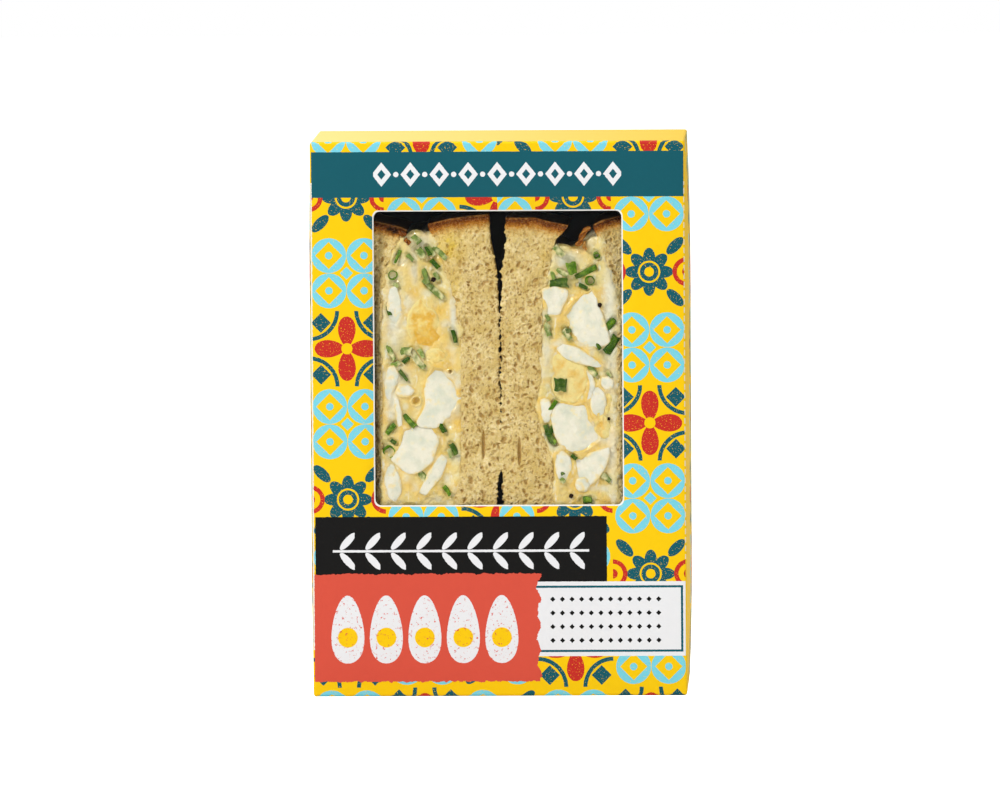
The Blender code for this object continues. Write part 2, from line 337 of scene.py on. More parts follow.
def tilePattern(tree, u, v, colour):
    # Traditional floor tiles: rings four to a tile, rosettes, and four-petalled flowers
    tile = carton["tile"]
    column = (u * (1 / tile)).apply("ROUND")
    row = (v * (1 / tile) + 0.38).apply("ROUND")
    x = u - column * tile
    y = v + 0.38 * tile - row * tile
    number = column + row + (u > 0.0)
    kind = number.apply("FLOORED_MODULO", 2.0)
    other = (number * 0.5).apply("FLOOR").apply("FLOORED_MODULO", 2.0)
    rosetteTile = (kind > 0.5) & (other < 0.5)
    flowerTile = (kind > 0.5) & (other > 0.5)
    radius = squared(x, y).apply("SQRT")
    angle = y.apply("ARCTAN2", x)

    subX = abs(abs(x) - 4.75)
    subY = abs(abs(y) - 4.75)
    subRadius = squared(subX, subY).apply("SQRT")
    rings = (subRadius < 4.7) & ~((subX + subY) < 3.7) | (subRadius < 1.0)
    rings = rings | ((abs(x) + abs(y)) < 1.7)

    petals = abs((angle * 4.0).apply("COSINE")) * 0.34 + 0.66
    rosette = (radius < petals * 6.5) & (radius > 1.3) & ~between(radius, 2.5, 3.0)
    leafX = abs(x) - 7.0
    leafY = abs(y) - 7.0
    along = (leafX + leafY) * 0.707
    across = (leafX - leafY) * 0.707
    leaves = (along * along * 0.11 + across * across * 0.5) < 1.0
    edgeX = abs(x) * -1.0 + tile / 2
    edgeY = abs(y) * -1.0 + tile / 2
    scallop = squared(edgeX, y).apply("SQRT")
    arcs = (abs(scallop - 3.3) < 0.6) | (scallop < 1.3)

    flower = (radius < abs((angle * 2.0).apply("COSINE")) * 8.7) & (radius > 1.5)
    diamonds = (abs(leafX) + abs(leafY)) < 2.7
    bars = abs(squared(edgeX, edgeY).apply("SQRT") - 7.6) < 0.55
    return inked(
        tree, colour, (rings & (kind < 0.5), "blue"), ((rosette | leaves) & rosetteTile, "teal"),
        (arcs & rosetteTile, "red"), (flower & flowerTile, "red"),
        ((diamonds | bars) & flowerTile, "teal"),
    )


def printedColour(tree):
    # The print in millimetres on the flat board: front from -50.5 to 50.5, height from 0
    flat = addNode(tree, "UVMap", uv_map="flat").outputs[0]
    parts = addNode(tree, "SeparateXYZ", {0: flat})
    rough = noiseField(tree, flat, 1.6, 3.0) - 0.5
    u = Field(tree, parts.outputs[0]) + rough * 0.22
    v = Field(tree, parts.outputs[1]) + rough * 0.18
    worn = noiseField(tree, flat, 2.4, 3.0, 0.65)
    top = between(v, 151.5, 209.0)

    # Band across the top, with a row of white lozenges
    band = between(v, 135.0, 147.3) & between(u, -50.3, 50.35)
    step = u.apply("PINGPONG", 3.9)
    lozenge = step * 1.25 + abs(v - 141.2)
    dot = squared(step - 3.9, v - 141.2) < 0.5
    row = ((lozenge < 3.3) & ~(lozenge < 1.35) | dot) & between(u, -33.4, 33.4)

    # Black field with a white garland of leaves
    black = between(u, -49.7, 29.0) & between(v, 29.8, 48.7)
    height = abs(v - 39.4)
    leafStep = (u + 46.0).apply("FLOORED_MODULO", 6.9) - 3.0
    lean = leafStep - height * 0.75
    leaf = (lean * lean * 0.55 + (height - 2.7) * (height - 2.7) * 0.16) < 0.85
    garland = (leaf | (height < 0.32)) & between(u, -45.0, 24.2) & black

    # Torn red field with a row of halved eggs
    edge = (noiseField(tree, flat, 0.5, 4.0, 0.6) - 0.5) * 5.0
    tornU = u + edge * 0.5 + (v * 0.9).apply("SINE") * 0.5
    torn = (tornU < 10.6) & (u > -50.2) & between(v + edge * 0.4, 4.0, 33.2)
    eggStep = (u + 46.3).apply("FLOORED_MODULO", 10.4) - 5.2
    eggHeight = v - 18.2
    taper = eggHeight * 0.028 + 1.0
    egg = (eggStep * eggStep * taper * taper * 0.054 + eggHeight * eggHeight * 0.0118) < 1.0
    stamped = noiseField(tree, flat, 1.1, 5.0, 0.72) < 0.60
    eggs = egg & stamped & between(u, -46.3, 5.7) & torn
    yolk = squared(eggStep, eggHeight + 2.2) < 7.2

    # White label with a teal line and rows of small lozenges
    label = between(u, 7.6, 50.35) & between(v, 10.8, 31.0) & ~torn
    line = ~(between(u, 8.4, 48.9) & between(v, 12.5, 29.3)) & between(v, 11.9, 29.9)
    markU = abs(u.apply("FLOORED_MODULO", 2.6) - 1.3)
    markV = abs((v - 13.2).apply("FLOORED_MODULO", 3.72) - 1.86)
    marks = ((markU + markV) < 0.72) & between(u, 13.0, 44.2) & between(v, 13.2, 28.0)

    # Bare board along the cut left edge and at the perforated right fold
    cut = ((u + rough * 0.5) < -50.15) & between(v, 12.7, 139.0) & (u > -50.9)
    dash = (v.apply("FLOORED_MODULO", 2.3) < 1.5) & between(v, 37.0, 139.0)
    fold = between(u, 50.2, 50.75) & dash
    colour = inked(
        tree, tilePattern(tree, u, v, linear(inks["ground"])),
        (worn > 0.635, "ground"), (between(u, 50.35, 64.0), "ground"), (top, "ground"),
        # The top panel is laid over with pale cream, most at its left: painted glare from the light
        # above
        (top * (u * -0.0065 + 0.56), "topGlare"), (band, "teal"), (row, "white"), (black, "black"),
        (garland, "white"), (torn, "field"), (eggs, "white"), (eggs & yolk, "ground"),
        (label, "white"), (label & line & (u < 49.5), "teal"), (marks & label, "black"),
        (cut, "board"), (fold * 0.75, "board"),
    )
    return colour, worn, flat


def printedBoard():
    # Clay-coated carton board, offset printed and sealed: smooth, a soft satin sheen
    made, tree, shader = newMaterial("satin printed carton board", {"Specular IOR Level": 0.12})
    colour, worn, flat = printedColour(tree)
    sheen = worn * 0.16 + 0.42
    tree.links.new(sheen.socket, shader.inputs["Roughness"])
    setSurface(tree, shader, colour, noiseField(tree, flat, 0.22, 3.0), 0.00022)
    return made


def rawBoard(name, colour):
    # Unprinted board: pulpy and matt, with faint fibres
    made, tree, shader = newMaterial(name, {"Roughness": 0.85})
    fibres = noiseField(tree, placeInMm(tree), 3.0, 4.0, 0.6)
    setSurface(tree, shader, over(tree, colour, fibres * 0.35, "#8A8274"), fibres, 0.00005)
    return made


def cartonShell():
    # The outside of the box: rounded folds and side walls that swell a little
    shape = bmesh.new()
    bmesh.ops.create_cube(shape, size=1.0)
    for axis, count in ((0, 8), (1, 12), (2, 16)):
        normal = Vector((0.0, 0.0, 0.0))
        normal[axis] = 1.0
        for i in range(1, count):
            cutThrough(shape, normal * (i / count - 0.5), normal, 1e-6)
    sharp = [e for e in shape.edges if e.calc_face_angle(0.0) > 1.0]
    for vert in shape.verts:
        x, y, z = vert.co
        swell = (1 - abs(2 * y) ** 3) * (1 - abs(2 * z) ** 6)
        size = carton["width"] + 2 * carton["bulge"] * swell
        vert.co = Vector((x * size, y * carton["depth"], (z + 0.5) * carton["height"])) * mm
    bmesh.ops.bevel(
        shape, geom=sharp, offset=carton["fold"] * mm, offset_type="OFFSET", segments=5,
        profile=0.5, affect="EDGES", material=-1,
    )
    cutThrough(shape, (0, seam, 0), (0, 1, 0), 1e-7)
    bmesh.ops.recalc_face_normals(shape, faces=shape.faces)
    return shape


def flatPlaces(shape):
    # Where each corner of a face lies on the unfolded board, in millimetres
    layer = shape.loops.layers.uv.new("flat")
    halfDepth = carton["depth"] / 2
    for face in shape.faces:
        side = 1 if face.calc_center_median().x > 0 else -1
        for loop in face.loops:
            x, y, z = loop.vert.co / mm
            behind = y + halfDepth
            if abs(face.normal.z) > 0.7:
                loop[layer].uv = (x, z + behind if face.normal.z > 0 else z - behind)
            elif face.normal.y > 0.7:
                loop[layer].uv = (side * (carton["width"] + carton["depth"] - abs(x)), z)
            else:
                loop[layer].uv = (x + side * behind, z)


def windowCutter():
    # A block through the window whose mouth widens where the cutting die crushed the edge
    width, bottom, top, corner = carton["window"]
    spread, deep = carton["cutEdge"]
    front = -carton["depth"] / 2
    rows = {front - 2.0: spread, front: spread, front + deep: 0.0, front + 3.0: 0.0}
    shape = flatGrid(1, 1)
    bmesh.ops.bevel(
        shape, geom=list(shape.verts), offset=corner / width, segments=5, profile=0.5,
        affect="VERTICES", material=-1,
    )
    standUp(shape)
    cap = list(shape.faces)
    for i, y in enumerate(rows):
        if i:
            made = bmesh.ops.extrude_face_region(shape, geom=cap)
            if i > 1:
                bmesh.ops.delete(shape, geom=cap, context="FACES_ONLY")
            cap = [item for item in made["geom"] if isinstance(item, bmesh.types.BMFace)]
        for vert in {v for face in cap for v in face.verts}:
            vert.co.y = y
    for vert in shape.verts:
        extra = next(more for y, more in rows.items() if abs(y - vert.co.y) < 1e-4)
        vert.co.x *= width + 2 * extra
        vert.co.z = (top + bottom) / 2 + vert.co.z * (top - bottom + 2 * extra)
    bmesh.ops.scale(shape, vec=(mm, mm, mm), verts=shape.verts)
    bmesh.ops.recalc_face_normals(shape, faces=shape.faces)
    return newObject("window cutter", meshFrom(shape, "window cutter"))


def makeCarton():
    printed = printedBoard()
    # The inside is near black: the unprinted back of the board, darkened further as painted shade
    # in the headspace
    inside = rawBoard("unprinted inside of the board, darkened as painted shade", "#3B352C")
    edge = rawBoard("white pulp at a cut edge", "#EFEDE6")
    cutter = windowCutter()
    cutter.data.materials.append(edge)
    wall = ("SOLIDIFY", {
        "thickness": carton["board"] * mm, "offset": -1.0, "use_even_offset": True,
        "material_offset": 1, "material_offset_rim": 2,
    })
    cut = ("BOOLEAN", {
        "operation": "DIFFERENCE", "object": cutter, "solver": "EXACT",
        "material_mode": "TRANSFER",
    })
    shell = cartonShell()
    flatPlaces(shell)
    halves = (("cartonFront", True, (wall, cut)), ("cartonBody", False, (wall,)))
    for name, keepFront, steps in halves:
        part = shell.copy()
        loose = [f for f in part.faces if (f.calc_center_median().y < seam) != keepFront]
        bmesh.ops.delete(part, geom=loose, context="FACES")
        mesh = meshFrom(part, name)
        mesh.shade_smooth()
        for material in (printed, inside, edge):
            mesh.materials.append(material)
        mesh = applied(mesh, *steps)
        mesh.set_sharp_from_angle(angle=math.radians(40))
        addPiece(name, mesh, [], "carton", "carton")
    shell.free()
    bpy.data.objects.remove(cutter)


makeCarton()
print("carton")


# Window film, in millimetres

film = {
    "width": 78.8,
    "bottom": 45.8,
    "top": 137.2,
    "front": -29.05,
    "thick": 0.12,
    "wave": 0.042,
}


def makeFilm():
    # Clear polypropylene film, glued behind the window and not quite flat
    shape = flatGrid(40, 46)
    standUp(shape)
    for vert in shape.verts:
        x = vert.co.x * film["width"]
        z = film["bottom"] + (vert.co.z + 0.5) * (film["top"] - film["bottom"])
        wave = math.sin(x * 0.21 + 1.0) * math.cos(z * 0.13) + 0.5 * math.sin(z * 0.31 + x * 0.1)
        vert.co = Vector((x, film["front"] + film["wave"] * wave, z)) * mm
    mesh = applied(meshFrom(shape, "windowFilm"), ("SOLIDIFY", {
        "thickness": film["thick"] * mm, "offset": 0.0,
    }))
    mesh.shade_smooth()
    clear = newMaterial("clear polypropylene film", {
        "Base Color": linear("#3C3E3E"), "Roughness": 0.09, "IOR": 1.49, "Alpha": 0.04,
    })[0]
    addPiece("windowFilm", mesh, [clear], "window_film", "window_film")


makeFilm()
print("film")


# Bread

sandwich = {
    "cutFace": -0.0284,
    "back": 0.0279,
    "floor": 0.0009,
    "ridge": 0.1256,
    "corner": 0.011,
    "outerSlice": 0.0135,
    "pinchAtBack": 0.14,
    "gap": 0.00015,
    "seenFrom": 0.0500,  # below this the carton hides the cut face
    "hiddenRows": 22,
    "shapedFrom": 0.108,  # above this a layer follows the outline of its top
    "cell": 0.00014,
    "poreStep": 0.1,  # from here on in millimetres
    "pored": (44.0, 132.0),
    "poreKinds": [
        # pores a square mm, least and most radius, depth
        (1.9, 0.09, 0.18, 0.20),
        (0.85, 0.16, 0.32, 0.38),
        (0.12, 0.30, 0.60, 0.62),
    ],
    "slit": (0.55, 4.2, 0.75),  # half its width and length, depth
}
# Outlines of the layers at the cut face, bottom to top, as (height, x)
leftOuterToFilling = [
    (0.0, -0.0290), (0.012, -0.0304), (0.028, -0.0313), (0.096, -0.0312), (0.1045, -0.0313),
    (0.1099, -0.0307), (0.1153, -0.0296), (0.1207, -0.0285), (0.1235, -0.0262), (0.127, -0.0238),
]
leftFillingToInner = [
    (0.0, -0.0144), (0.012, -0.0128), (0.028, -0.0118), (0.0532, -0.0122), (0.0613, -0.0105),
    (0.096, -0.0103), (0.1045, -0.0115), (0.1126, -0.0140), (0.118, -0.0155), (0.1234, -0.0169),
    (0.127, -0.0190),
]
leftOfGap = [
    (0.0, -0.0012), (0.0532, -0.0006), (0.062, 0.0000), (0.080, 0.0003), (0.107, 0.0002),
    (0.1153, -0.0004), (0.1234, -0.0020), (0.1304, -0.0023),
]
rightOfGap = [
    (0.0, 0.0016), (0.0532, 0.0011), (0.062, 0.0006), (0.080, 0.0006), (0.107, 0.0007),
    (0.1153, 0.0010), (0.1234, 0.0021), (0.1304, 0.0019),
]
rightInnerToFilling = [
    (0.0, 0.0172), (0.012, 0.0158), (0.028, 0.0148), (0.0586, 0.0151), (0.064, 0.0144),
    (0.0694, 0.0125), (0.0748, 0.0109), (0.0802, 0.0104), (0.0856, 0.0116), (0.107, 0.0122),
    (0.1126, 0.0138), (0.118, 0.0144), (0.1234, 0.0158), (0.127, 0.0190),
]
rightFillingToOuter = [
    (0.0, 0.0292), (0.012, 0.0305), (0.028, 0.0314), (0.058, 0.0317), (0.1018, 0.0320),
    (0.1099, 0.0312), (0.118, 0.0290), (0.1234, 0.0272), (0.127, 0.0256),
]
# Heights of the top, as (x, height)
leftTop = [
    (-0.045, 0.1285), (-0.033, 0.1285), (-0.026, 0.1268), (-0.0236, 0.1256), (-0.0190, 0.1277),
    (-0.013, 0.1291), (-0.007, 0.1299), (-0.002, 0.1304),
]
rightTop = [
    (0.002, 0.1293), (0.010, 0.1293), (0.014, 0.1282), (0.0190, 0.1272), (0.0256, 0.1272),
    (0.028, 0.1285), (0.031, 0.1293), (0.034, 0.1301), (0.045, 0.1301),
]


def level(points, at):
    # The value at this place on the line through (place, value) points
    return np.interp(at, *zip(*points))


def smoothStep(value):
    value = np.clip(value, 0.0, 1.0)
    return value * value * (3 - 2 * value)


def blended(table, row, column, smooth=False):
    # Between the four values of a table round a place. A table repeats past its ends
    low = np.floor(row).astype(int)
    left = np.floor(column).astype(int)
    shares = (row - low, column - left)
    shareZ, shareX = [smoothStep(share) for share in shares] if smooth else shares
    rows, columns = table.shape
    first, second = [
        table[at % rows, left % columns] * (1 - shareX)
        + table[at % rows, (left + 1) % columns] * shareX
        for at in (low, low + 1)
    ]
    return first * (1 - shareZ) + second * shareZ


def lumps(x, z, size, seed):
    # Smooth random relief from -1 to 1 whose lumps are about this size
    heights = np.random.default_rng(seed).uniform(-1.0, 1.0, (97, 89))
    return blended(heights, z / size + 1000.0, x / size + 1000.0, smooth=True)


def fromSpot(x, z, middleX, middleZ, radiusX, radiusZ):
    # 0 in the middle of an oval spot and 1 at its rim
    return ((x - middleX) / radiusX) ** 2 + ((z - middleZ) / radiusZ) ** 2


def gridBox(name, across, deep, tall):
    # A closed box of grids, its vertices at these fractions of each side. Its back is one face
    tables = (across, deep, tall)
    counts = [len(table) - 1 for table in tables]
    shape = bmesh.new()
    for axis, end in ((0, 0.0), (0, 1.0), (1, 0.0), (2, 0.0), (2, 1.0)):
        first, second = [i for i in range(3) if i != axis]
        side = bmesh.ops.create_grid(
            shape, x_segments=counts[first], y_segments=counts[second], size=0.5
        )
        place = Matrix.Diagonal((0.0, 0.0, 0.0, 1.0))
        for row, column, shift in ((first, 0, 0.5), (second, 1, 0.5), (axis, 2, end)):
            place[row][column] = 1.0
            place[row][3] = shift
        bmesh.ops.transform(shape, matrix=place, verts=side["verts"])
    bmesh.ops.remove_doubles(shape, verts=shape.verts, dist=1e-4)
    rim = [edge for edge in shape.edges if edge.is_boundary]
    bmesh.ops.contextual_create(shape, geom=rim)
    bmesh.ops.recalc_face_normals(shape, faces=shape.faces)
    mesh = meshFrom(shape, name)
    fractions = coordinates(mesh)
    for axis, table in enumerate(tables):
        steps = np.linspace(0.0, 1.0, len(table))
        fractions[:, axis] = np.interp(fractions[:, axis], steps, table)
    return mesh, fractions


def layerPlaces(fractions, layer):
    # Where the fractions across, back and up lie in one layer of a half, and its top, in mm
    s = sandwich
    u, v, w = fractions.T
    y = s["cutFace"] + v * (s["back"] - s["cutFace"])
    past = np.clip(y - (s["back"] - s["corner"]), 0.0, s["corner"])
    drop = s["corner"] - np.sqrt(s["corner"] ** 2 - past ** 2)
    row = s["floor"] + drop + w * (s["ridge"] - s["floor"] - 2 * drop)
    squeeze = 1 - s["pinchAtBack"] * ((y - s["cutFace"]) / (s["back"] - s["cutFace"])) ** 2
    lift = smoothStep((row - s["shapedFrom"]) / (s["ridge"] - drop - s["shapedFrom"]))
    z = row
    for _ in range(2):
        left = level(layer["left"], z) + s["gap"]
        right = level(layer["right"], z) - s["gap"]
        across = left + u * (right - left)
        x = layer["centre"] + (across - layer["centre"]) * squeeze
        top = level(layer["top"], x) - drop
        z = row + (top - (s["ridge"] - drop)) * lift
    return x / mm, y / mm, z / mm, top / mm


def poreRaster(low, high, slits, seed):
    # Depth in mm of the pores of a cut slice
    step = sandwich["poreStep"]
    lowest, highest = sandwich["pored"]
    xs = np.arange(low, high, step)
    zs = np.arange(lowest, highest, step)
    depth = np.zeros((len(zs), len(xs)))
    draw = np.random.default_rng(seed)
    area = (high - low) * (highest - lowest)
    slitWide, slitLong, slitDeep = sandwich["slit"]
    pores = [(x, z, slitWide, slitLong, math.pi / 2, slitDeep) for x, z in slits]
    for density, least, most, deepest in sandwich["poreKinds"]:
        for _ in range(int(area * density)):
            wide = draw.uniform(least, most)
            pores.append((
                draw.uniform(low, high), draw.uniform(lowest, highest), wide,
                wide * draw.uniform(1.0, 2.2), draw.normal(math.pi / 2, 0.8),
                deepest * draw.uniform(0.5, 1.0),
            ))
    for x, z, wide, longer, angle, deepest in pores:
        reach = longer + step
        left, right = np.searchsorted(xs, (x - reach, x + reach))
        bottom, top = np.searchsorted(zs, (z - reach, z + reach))
        dx, dz = np.meshgrid(xs[left:right] - x, zs[bottom:top] - z)
        first = (dx * math.cos(angle) + dz * math.sin(angle)) / longer
        second = (dz * math.cos(angle) - dx * math.sin(angle)) / wide
        bowl = deepest * np.clip(1 - first ** 2 - second ** 2, 0.0, 1.0) ** 0.55
        window = depth[bottom:top, left:right]
        np.maximum(window, bowl, out=window)
    return xs, zs, depth


def sampled(raster, x, z):
    xs, zs, depth = raster
    column, row = [
        np.clip((place - start[0]) / sandwich["poreStep"], 0, len(start) - 1.001)
        for place, start in ((x, xs), (z, zs))
    ]
    return blended(depth, row, column)


def rowTable(fine):
    # Fractions of the height: coarse where the carton hides the face, fine behind the window
    s = sandwich
    seen = (s["seenFrom"] - s["floor"]) / (s["ridge"] - s["floor"])
    count = int((s["ridge"] - s["seenFrom"]) / fine)
    hidden = np.linspace(0.0, seen, s["hiddenRows"])[:-1]
    return np.concatenate([hidden, np.linspace(seen, 1.0, count)])


def breadMaterial():
    # White sandwich bread: matt open crumb, a thin baked crust that is darker and smoother
    made, tree, shader = newMaterial("white sandwich bread, open crumb and baked crust", {
        "Roughness": 0.88, "Specular IOR Level": 0.15, "Subsurface Weight": 0.08,
        "Subsurface Radius": (1.0, 0.7, 0.3), "Subsurface Scale": 0.0006,
    })
    place = placeInMm(tree)
    fine = noiseField(tree, place, 1.5, 3.0, 0.6)
    broad = noiseField(tree, place, 0.3, 3.0)
    speck = noiseField(tree, place, 3.2, 3.0, 0.6)
    crumb = layered(
        tree, "#DEC580", (fine, 3.2, -1.35, "#F2E0AE"), (fine, -3.6, 1.45, "#BD9C57"),
        (broad, 3.0, -1.1, "#D0B36A"),
    )
    # Pores are darkened by their depth: painted shade in the hollows of the crumb
    crumb = over(tree, crumb, (attribute(tree, "pore") * 1.8).apply("MINIMUM", 0.75), "#A07834")
    crumb = over(tree, crumb, attribute(tree, "stain"), "#E6C540")
    inward = attribute(tree, "crustDepth") + (fine - 0.5) * 2.2 + (broad - 0.5) * 1.2
    ramp = addNode(tree, "ValToRGB", {0: (inward * 0.185).socket})
    # The first stop, lighter than the band under it, is the outer crust's own colour and also a
    # painted highlight along the cut crust's top edge
    stops = (
        (0.00, "#A06A2C"), (0.06, "#7A3F08"), (0.15, "#5E2C02"), (0.28, "#88490A"),
        (0.46, "#B97E2B"), (0.72, "#DAB667"),
    )
    while len(ramp.color_ramp.elements) < len(stops):
        ramp.color_ramp.elements.new(0.5)
    for element, (at, colour) in zip(ramp.color_ramp.elements, stops):
        element.position = at
        element.color = linear(colour)
    crust = layered(
        tree, ramp.outputs[0], (speck, 6.0, -3.4, "#3F1F06"), (speck, -6.0, 2.55, "#D39C55")
    )
    baked = (inward * -0.32 + 1.75).apply("MINIMUM", 1.0).apply("MAXIMUM", 0.0)
    colour = over(tree, crumb, baked, crust)
    # Near black-brown where the cracks are
    colour = over(tree, colour, attribute(tree, "scorch") * (fine + 0.4), "#3A1D06")
    setSurface(tree, shader, colour, fine, 0.00035)
    return made


def makeSlice(name, node, layer, seed, material):
    deep = np.array([0.0, 0.008, 0.03, 0.08, 0.2, 0.4, 0.6, 0.78, 0.87, 0.93, 0.97, 1.0])
    across = np.linspace(0, 1, layer["columns"])
    mesh, fractions = gridBox(name, across, deep, rowTable(sandwich["cell"]))
    x, y, z, top = layerPlaces(fractions, layer)
    front = fractions[:, 1] < 1e-6
    pores = sampled(poreRaster(x.min() - 1, x.max() + 1, layer.get("slits", ()), seed), x, z)
    left = level(layer["left"], z * mm) / mm
    right = level(layer["right"], z * mm) / mm
    side = layer["fillingSide"]
    toFilling = np.clip(right - x if side > 0 else x - left, 0.0, None)
    fromTop = np.clip(top - z, 0.0, None)
    fromBottom = np.clip(z - sandwich["floor"] / mm, 0.0, None)
    relief = pores + 0.16 * lumps(x, z, 0.62, seed + 5) + 0.25 * lumps(x, z, 3.1, seed + 6)
    relief += 0.35 * np.exp(-fromTop / 0.5)
    relief += 0.3 * np.exp(-toFilling / 0.8)
    if "recede" in layer:
        # An outer slice lies back from the window, less so near its top
        atHeight = np.interp(z, (98.0, 116.0), (1.0, layer["recedeAtTop"]))
        inner = right if side > 0 else left
        relief += layer["recede"] * smoothStep(np.abs(x - inner) / 4.5) * atHeight
    else:
        # An inner slice has a ragged edge that almost meets the other half
        toGap = np.clip(x - left if side > 0 else right - x, 0.0, None)
        relief += 0.35 * np.exp(-toGap / 0.35)
        shut = smoothStep((z - 58) / 5) * smoothStep((82 - z) / 6) * 0.6
        shut = np.maximum(shut, smoothStep((z - 70) / 8) * smoothStep((116 - z) / 8) * 0.12)
        shut += 0.36 * lumps(y * 0.2, z, 1.4, seed + 3) + 0.46 * lumps(y * 0.2, z, 0.7, seed + 4)
        shut += 0.42 * lumps(y * 0.4, z, 0.34, seed + 2)
        atFront = np.exp(-(y - sandwich["cutFace"] / mm) / 2.5)
        x = x - side * shut * atFront * np.exp(-toGap / 0.9)
    # Cracks are pushed back into the slice and coloured near black-brown
    scorch = np.zeros(len(x))
    for crack in layer.get("cracks", ()):
        ragged = 1 + 0.5 * lumps(x, z, 0.7, seed + 15)
        scorch = np.maximum(scorch, np.exp(-fromSpot(x, z, *crack) * ragged))
    relief += 1.1 * scorch
    y = np.where(front, y + np.clip(relief + 0.1, -0.1, None), y)
    bumps = 0.25 * lumps(x + y, z, 2.3, seed + 8) + 0.12 * lumps(x - y, z + y, 0.8, seed + 9)
    onTop = ~front & (fractions[:, 2] > 0.9999)
    z = np.where(onTop, z + bumps - 0.3, z)
    moveTo(mesh, x, y, z)
    stain = np.zeros(len(x))
    for *spot, amount in layer.get("stains", ()):
        spread = amount * np.exp(-fromSpot(x, z, *spot))
        stain = np.maximum(stain, spread * (0.75 + 0.5 * lumps(x, z, 0.9, 31)))
    fromBack = (1 - fractions[:, 1]) * (sandwich["back"] - sandwich["cutFace"]) / mm
    depth = np.minimum(np.minimum(fromTop, fromBottom), fromBack)
    writeAttributes(
        mesh, crustDepth=np.clip(depth, 0.0, 6.0), pore=np.where(front, pores, 0.0),
        stain=np.clip(stain, 0.0, 1.0), scorch=np.clip(scorch * 1.3, 0.0, 1.0),
    )
    mesh.shade_smooth()
    mesh.set_sharp_from_angle(angle=math.radians(70))
    addPiece(name, mesh, [material], "bread", node)


def joined(shapes, name):
    whole = bmesh.new()
    for shape in shapes:
        holder = meshFrom(shape, "holder")
        whole.from_mesh(holder)
        bpy.data.meshes.remove(holder)
    return meshFrom(whole, name)


def crustBits(name, material, *nodes):
    # Torn strips of crust that hang over the filling, each a bent slab
    shapes = []
    depths = []
    for x0, z0, x1, z1, width, baked in tornCrust["strips"]:
        shape = bmesh.new()
        bmesh.ops.create_cube(shape, size=1.0)
        bmesh.ops.subdivide_edges(shape, edges=list(shape.edges), cuts=9, use_grid_fill=True)
        length = math.hypot(x1 - x0, z1 - z0)
        along = Vector(((x1 - x0) / length, 0.0, (z1 - z0) / length))
        across = Vector((-along.z, 0.0, along.x))
        for vert in shape.verts:
            s, t, deep = vert.co
            narrowed = 1 - 0.35 * (2 * abs(s)) ** 4
            wave = 0.16 * math.sin(s * 7 + x0) + 0.1 * math.sin(s * 17 + t * 5)
            y = tornCrust["face"] + deep * tornCrust["thick"] + 0.25 * math.sin(s * 9 + t * 4)
            place = along * (s * length) + across * ((t * narrowed + wave) * width)
            place += Vector(((x0 + x1) / 2, y, (z0 + z1) / 2))
            depths.append(baked + 0.5 * math.sin(s * 13 + t * 9))
            vert.co = place * mm
        shapes.append(shape)
    mesh = joined(shapes, name)
    none = np.zeros(len(depths))
    writeAttributes(mesh, crustDepth=depths, pore=none, stain=none, scorch=none)
    mesh.shade_smooth()
    addPiece(name, mesh, [material], "bread", *nodes)


tornCrust = {
    "face": -28.1,
    "thick": 0.9,
    "strips": [
        # x and height of both ends, width, how far in from the crust its colour is
        (24.6, 126.9, 21.2, 121.6, 1.5, 1.7), (23.1, 122.8, 23.7, 120.4, 0.9, 2.6),
        (-24.9, 123.9, -23.8, 122.2, 1.2, 1.5), (-26.9, 125.6, -24.6, 124.7, 0.9, 0.9),
    ],
}
outer = sandwich["outerSlice"]
leftHalf = {"top": leftTop, "centre": (leftOuterToFilling[3][1] - outer) / 2}
rightHalf = {"top": rightTop, "centre": (rightFillingToOuter[4][1] + outer) / 2}
# Cracks and stains are ovals in millimetres, as (x, height, half width, half height), and
# a stain's last number is its strength. Slits are (x, height)
slices = (
    ("leftOuterSlice", "left_outer_slice", {
        **leftHalf, "left": [(h, x - outer) for h, x in leftOuterToFilling[3:5]],
        "right": leftOuterToFilling, "columns": 100, "fillingSide": 1,
        "recede": 4.4, "recedeAtTop": 0.3,
        "cracks": [(-29.0, 126.3, 1.1, 0.6), (-27.4, 125.6, 1.5, 0.7)],
    }),
    ("leftInnerSlice", "left_inner_slice", {
        **leftHalf, "left": leftFillingToInner, "right": leftOfGap,
        "columns": 92, "fillingSide": -1, "slits": [(-4.2, 68.0)],
        "stains": [(-13.5, 122.0, 3.4, 4.2, 0.75), (-11.5, 112.0, 1.4, 5.0, 0.35)],
    }),
    ("rightInnerSlice", "right_inner_slice", {
        **rightHalf, "left": rightOfGap, "right": rightInnerToFilling,
        "columns": 107, "fillingSide": 1, "slits": [(5.5, 66.2)],
        "stains": [(12.5, 118.0, 1.0, 5.0, 0.2)],
    }),
    ("rightOuterSlice", "right_outer_slice", {
        **rightHalf, "left": rightFillingToOuter,
        "right": [(h, x + outer) for h, x in rightFillingToOuter[3:5]],
        "columns": 102, "fillingSide": -1, "recede": 1.7, "recedeAtTop": 0.8,
    }),
)
bread = breadMaterial()
for seed, (name, node, layer) in enumerate(slices, 11):
    makeSlice(name, node, layer, seed, bread)
crustBits("tornCrust", bread, "left_inner_slice", "right_inner_slice")
print("bread")


# Fillings. Outlines of the pieces at the cut are in millimetres, as (x, height)

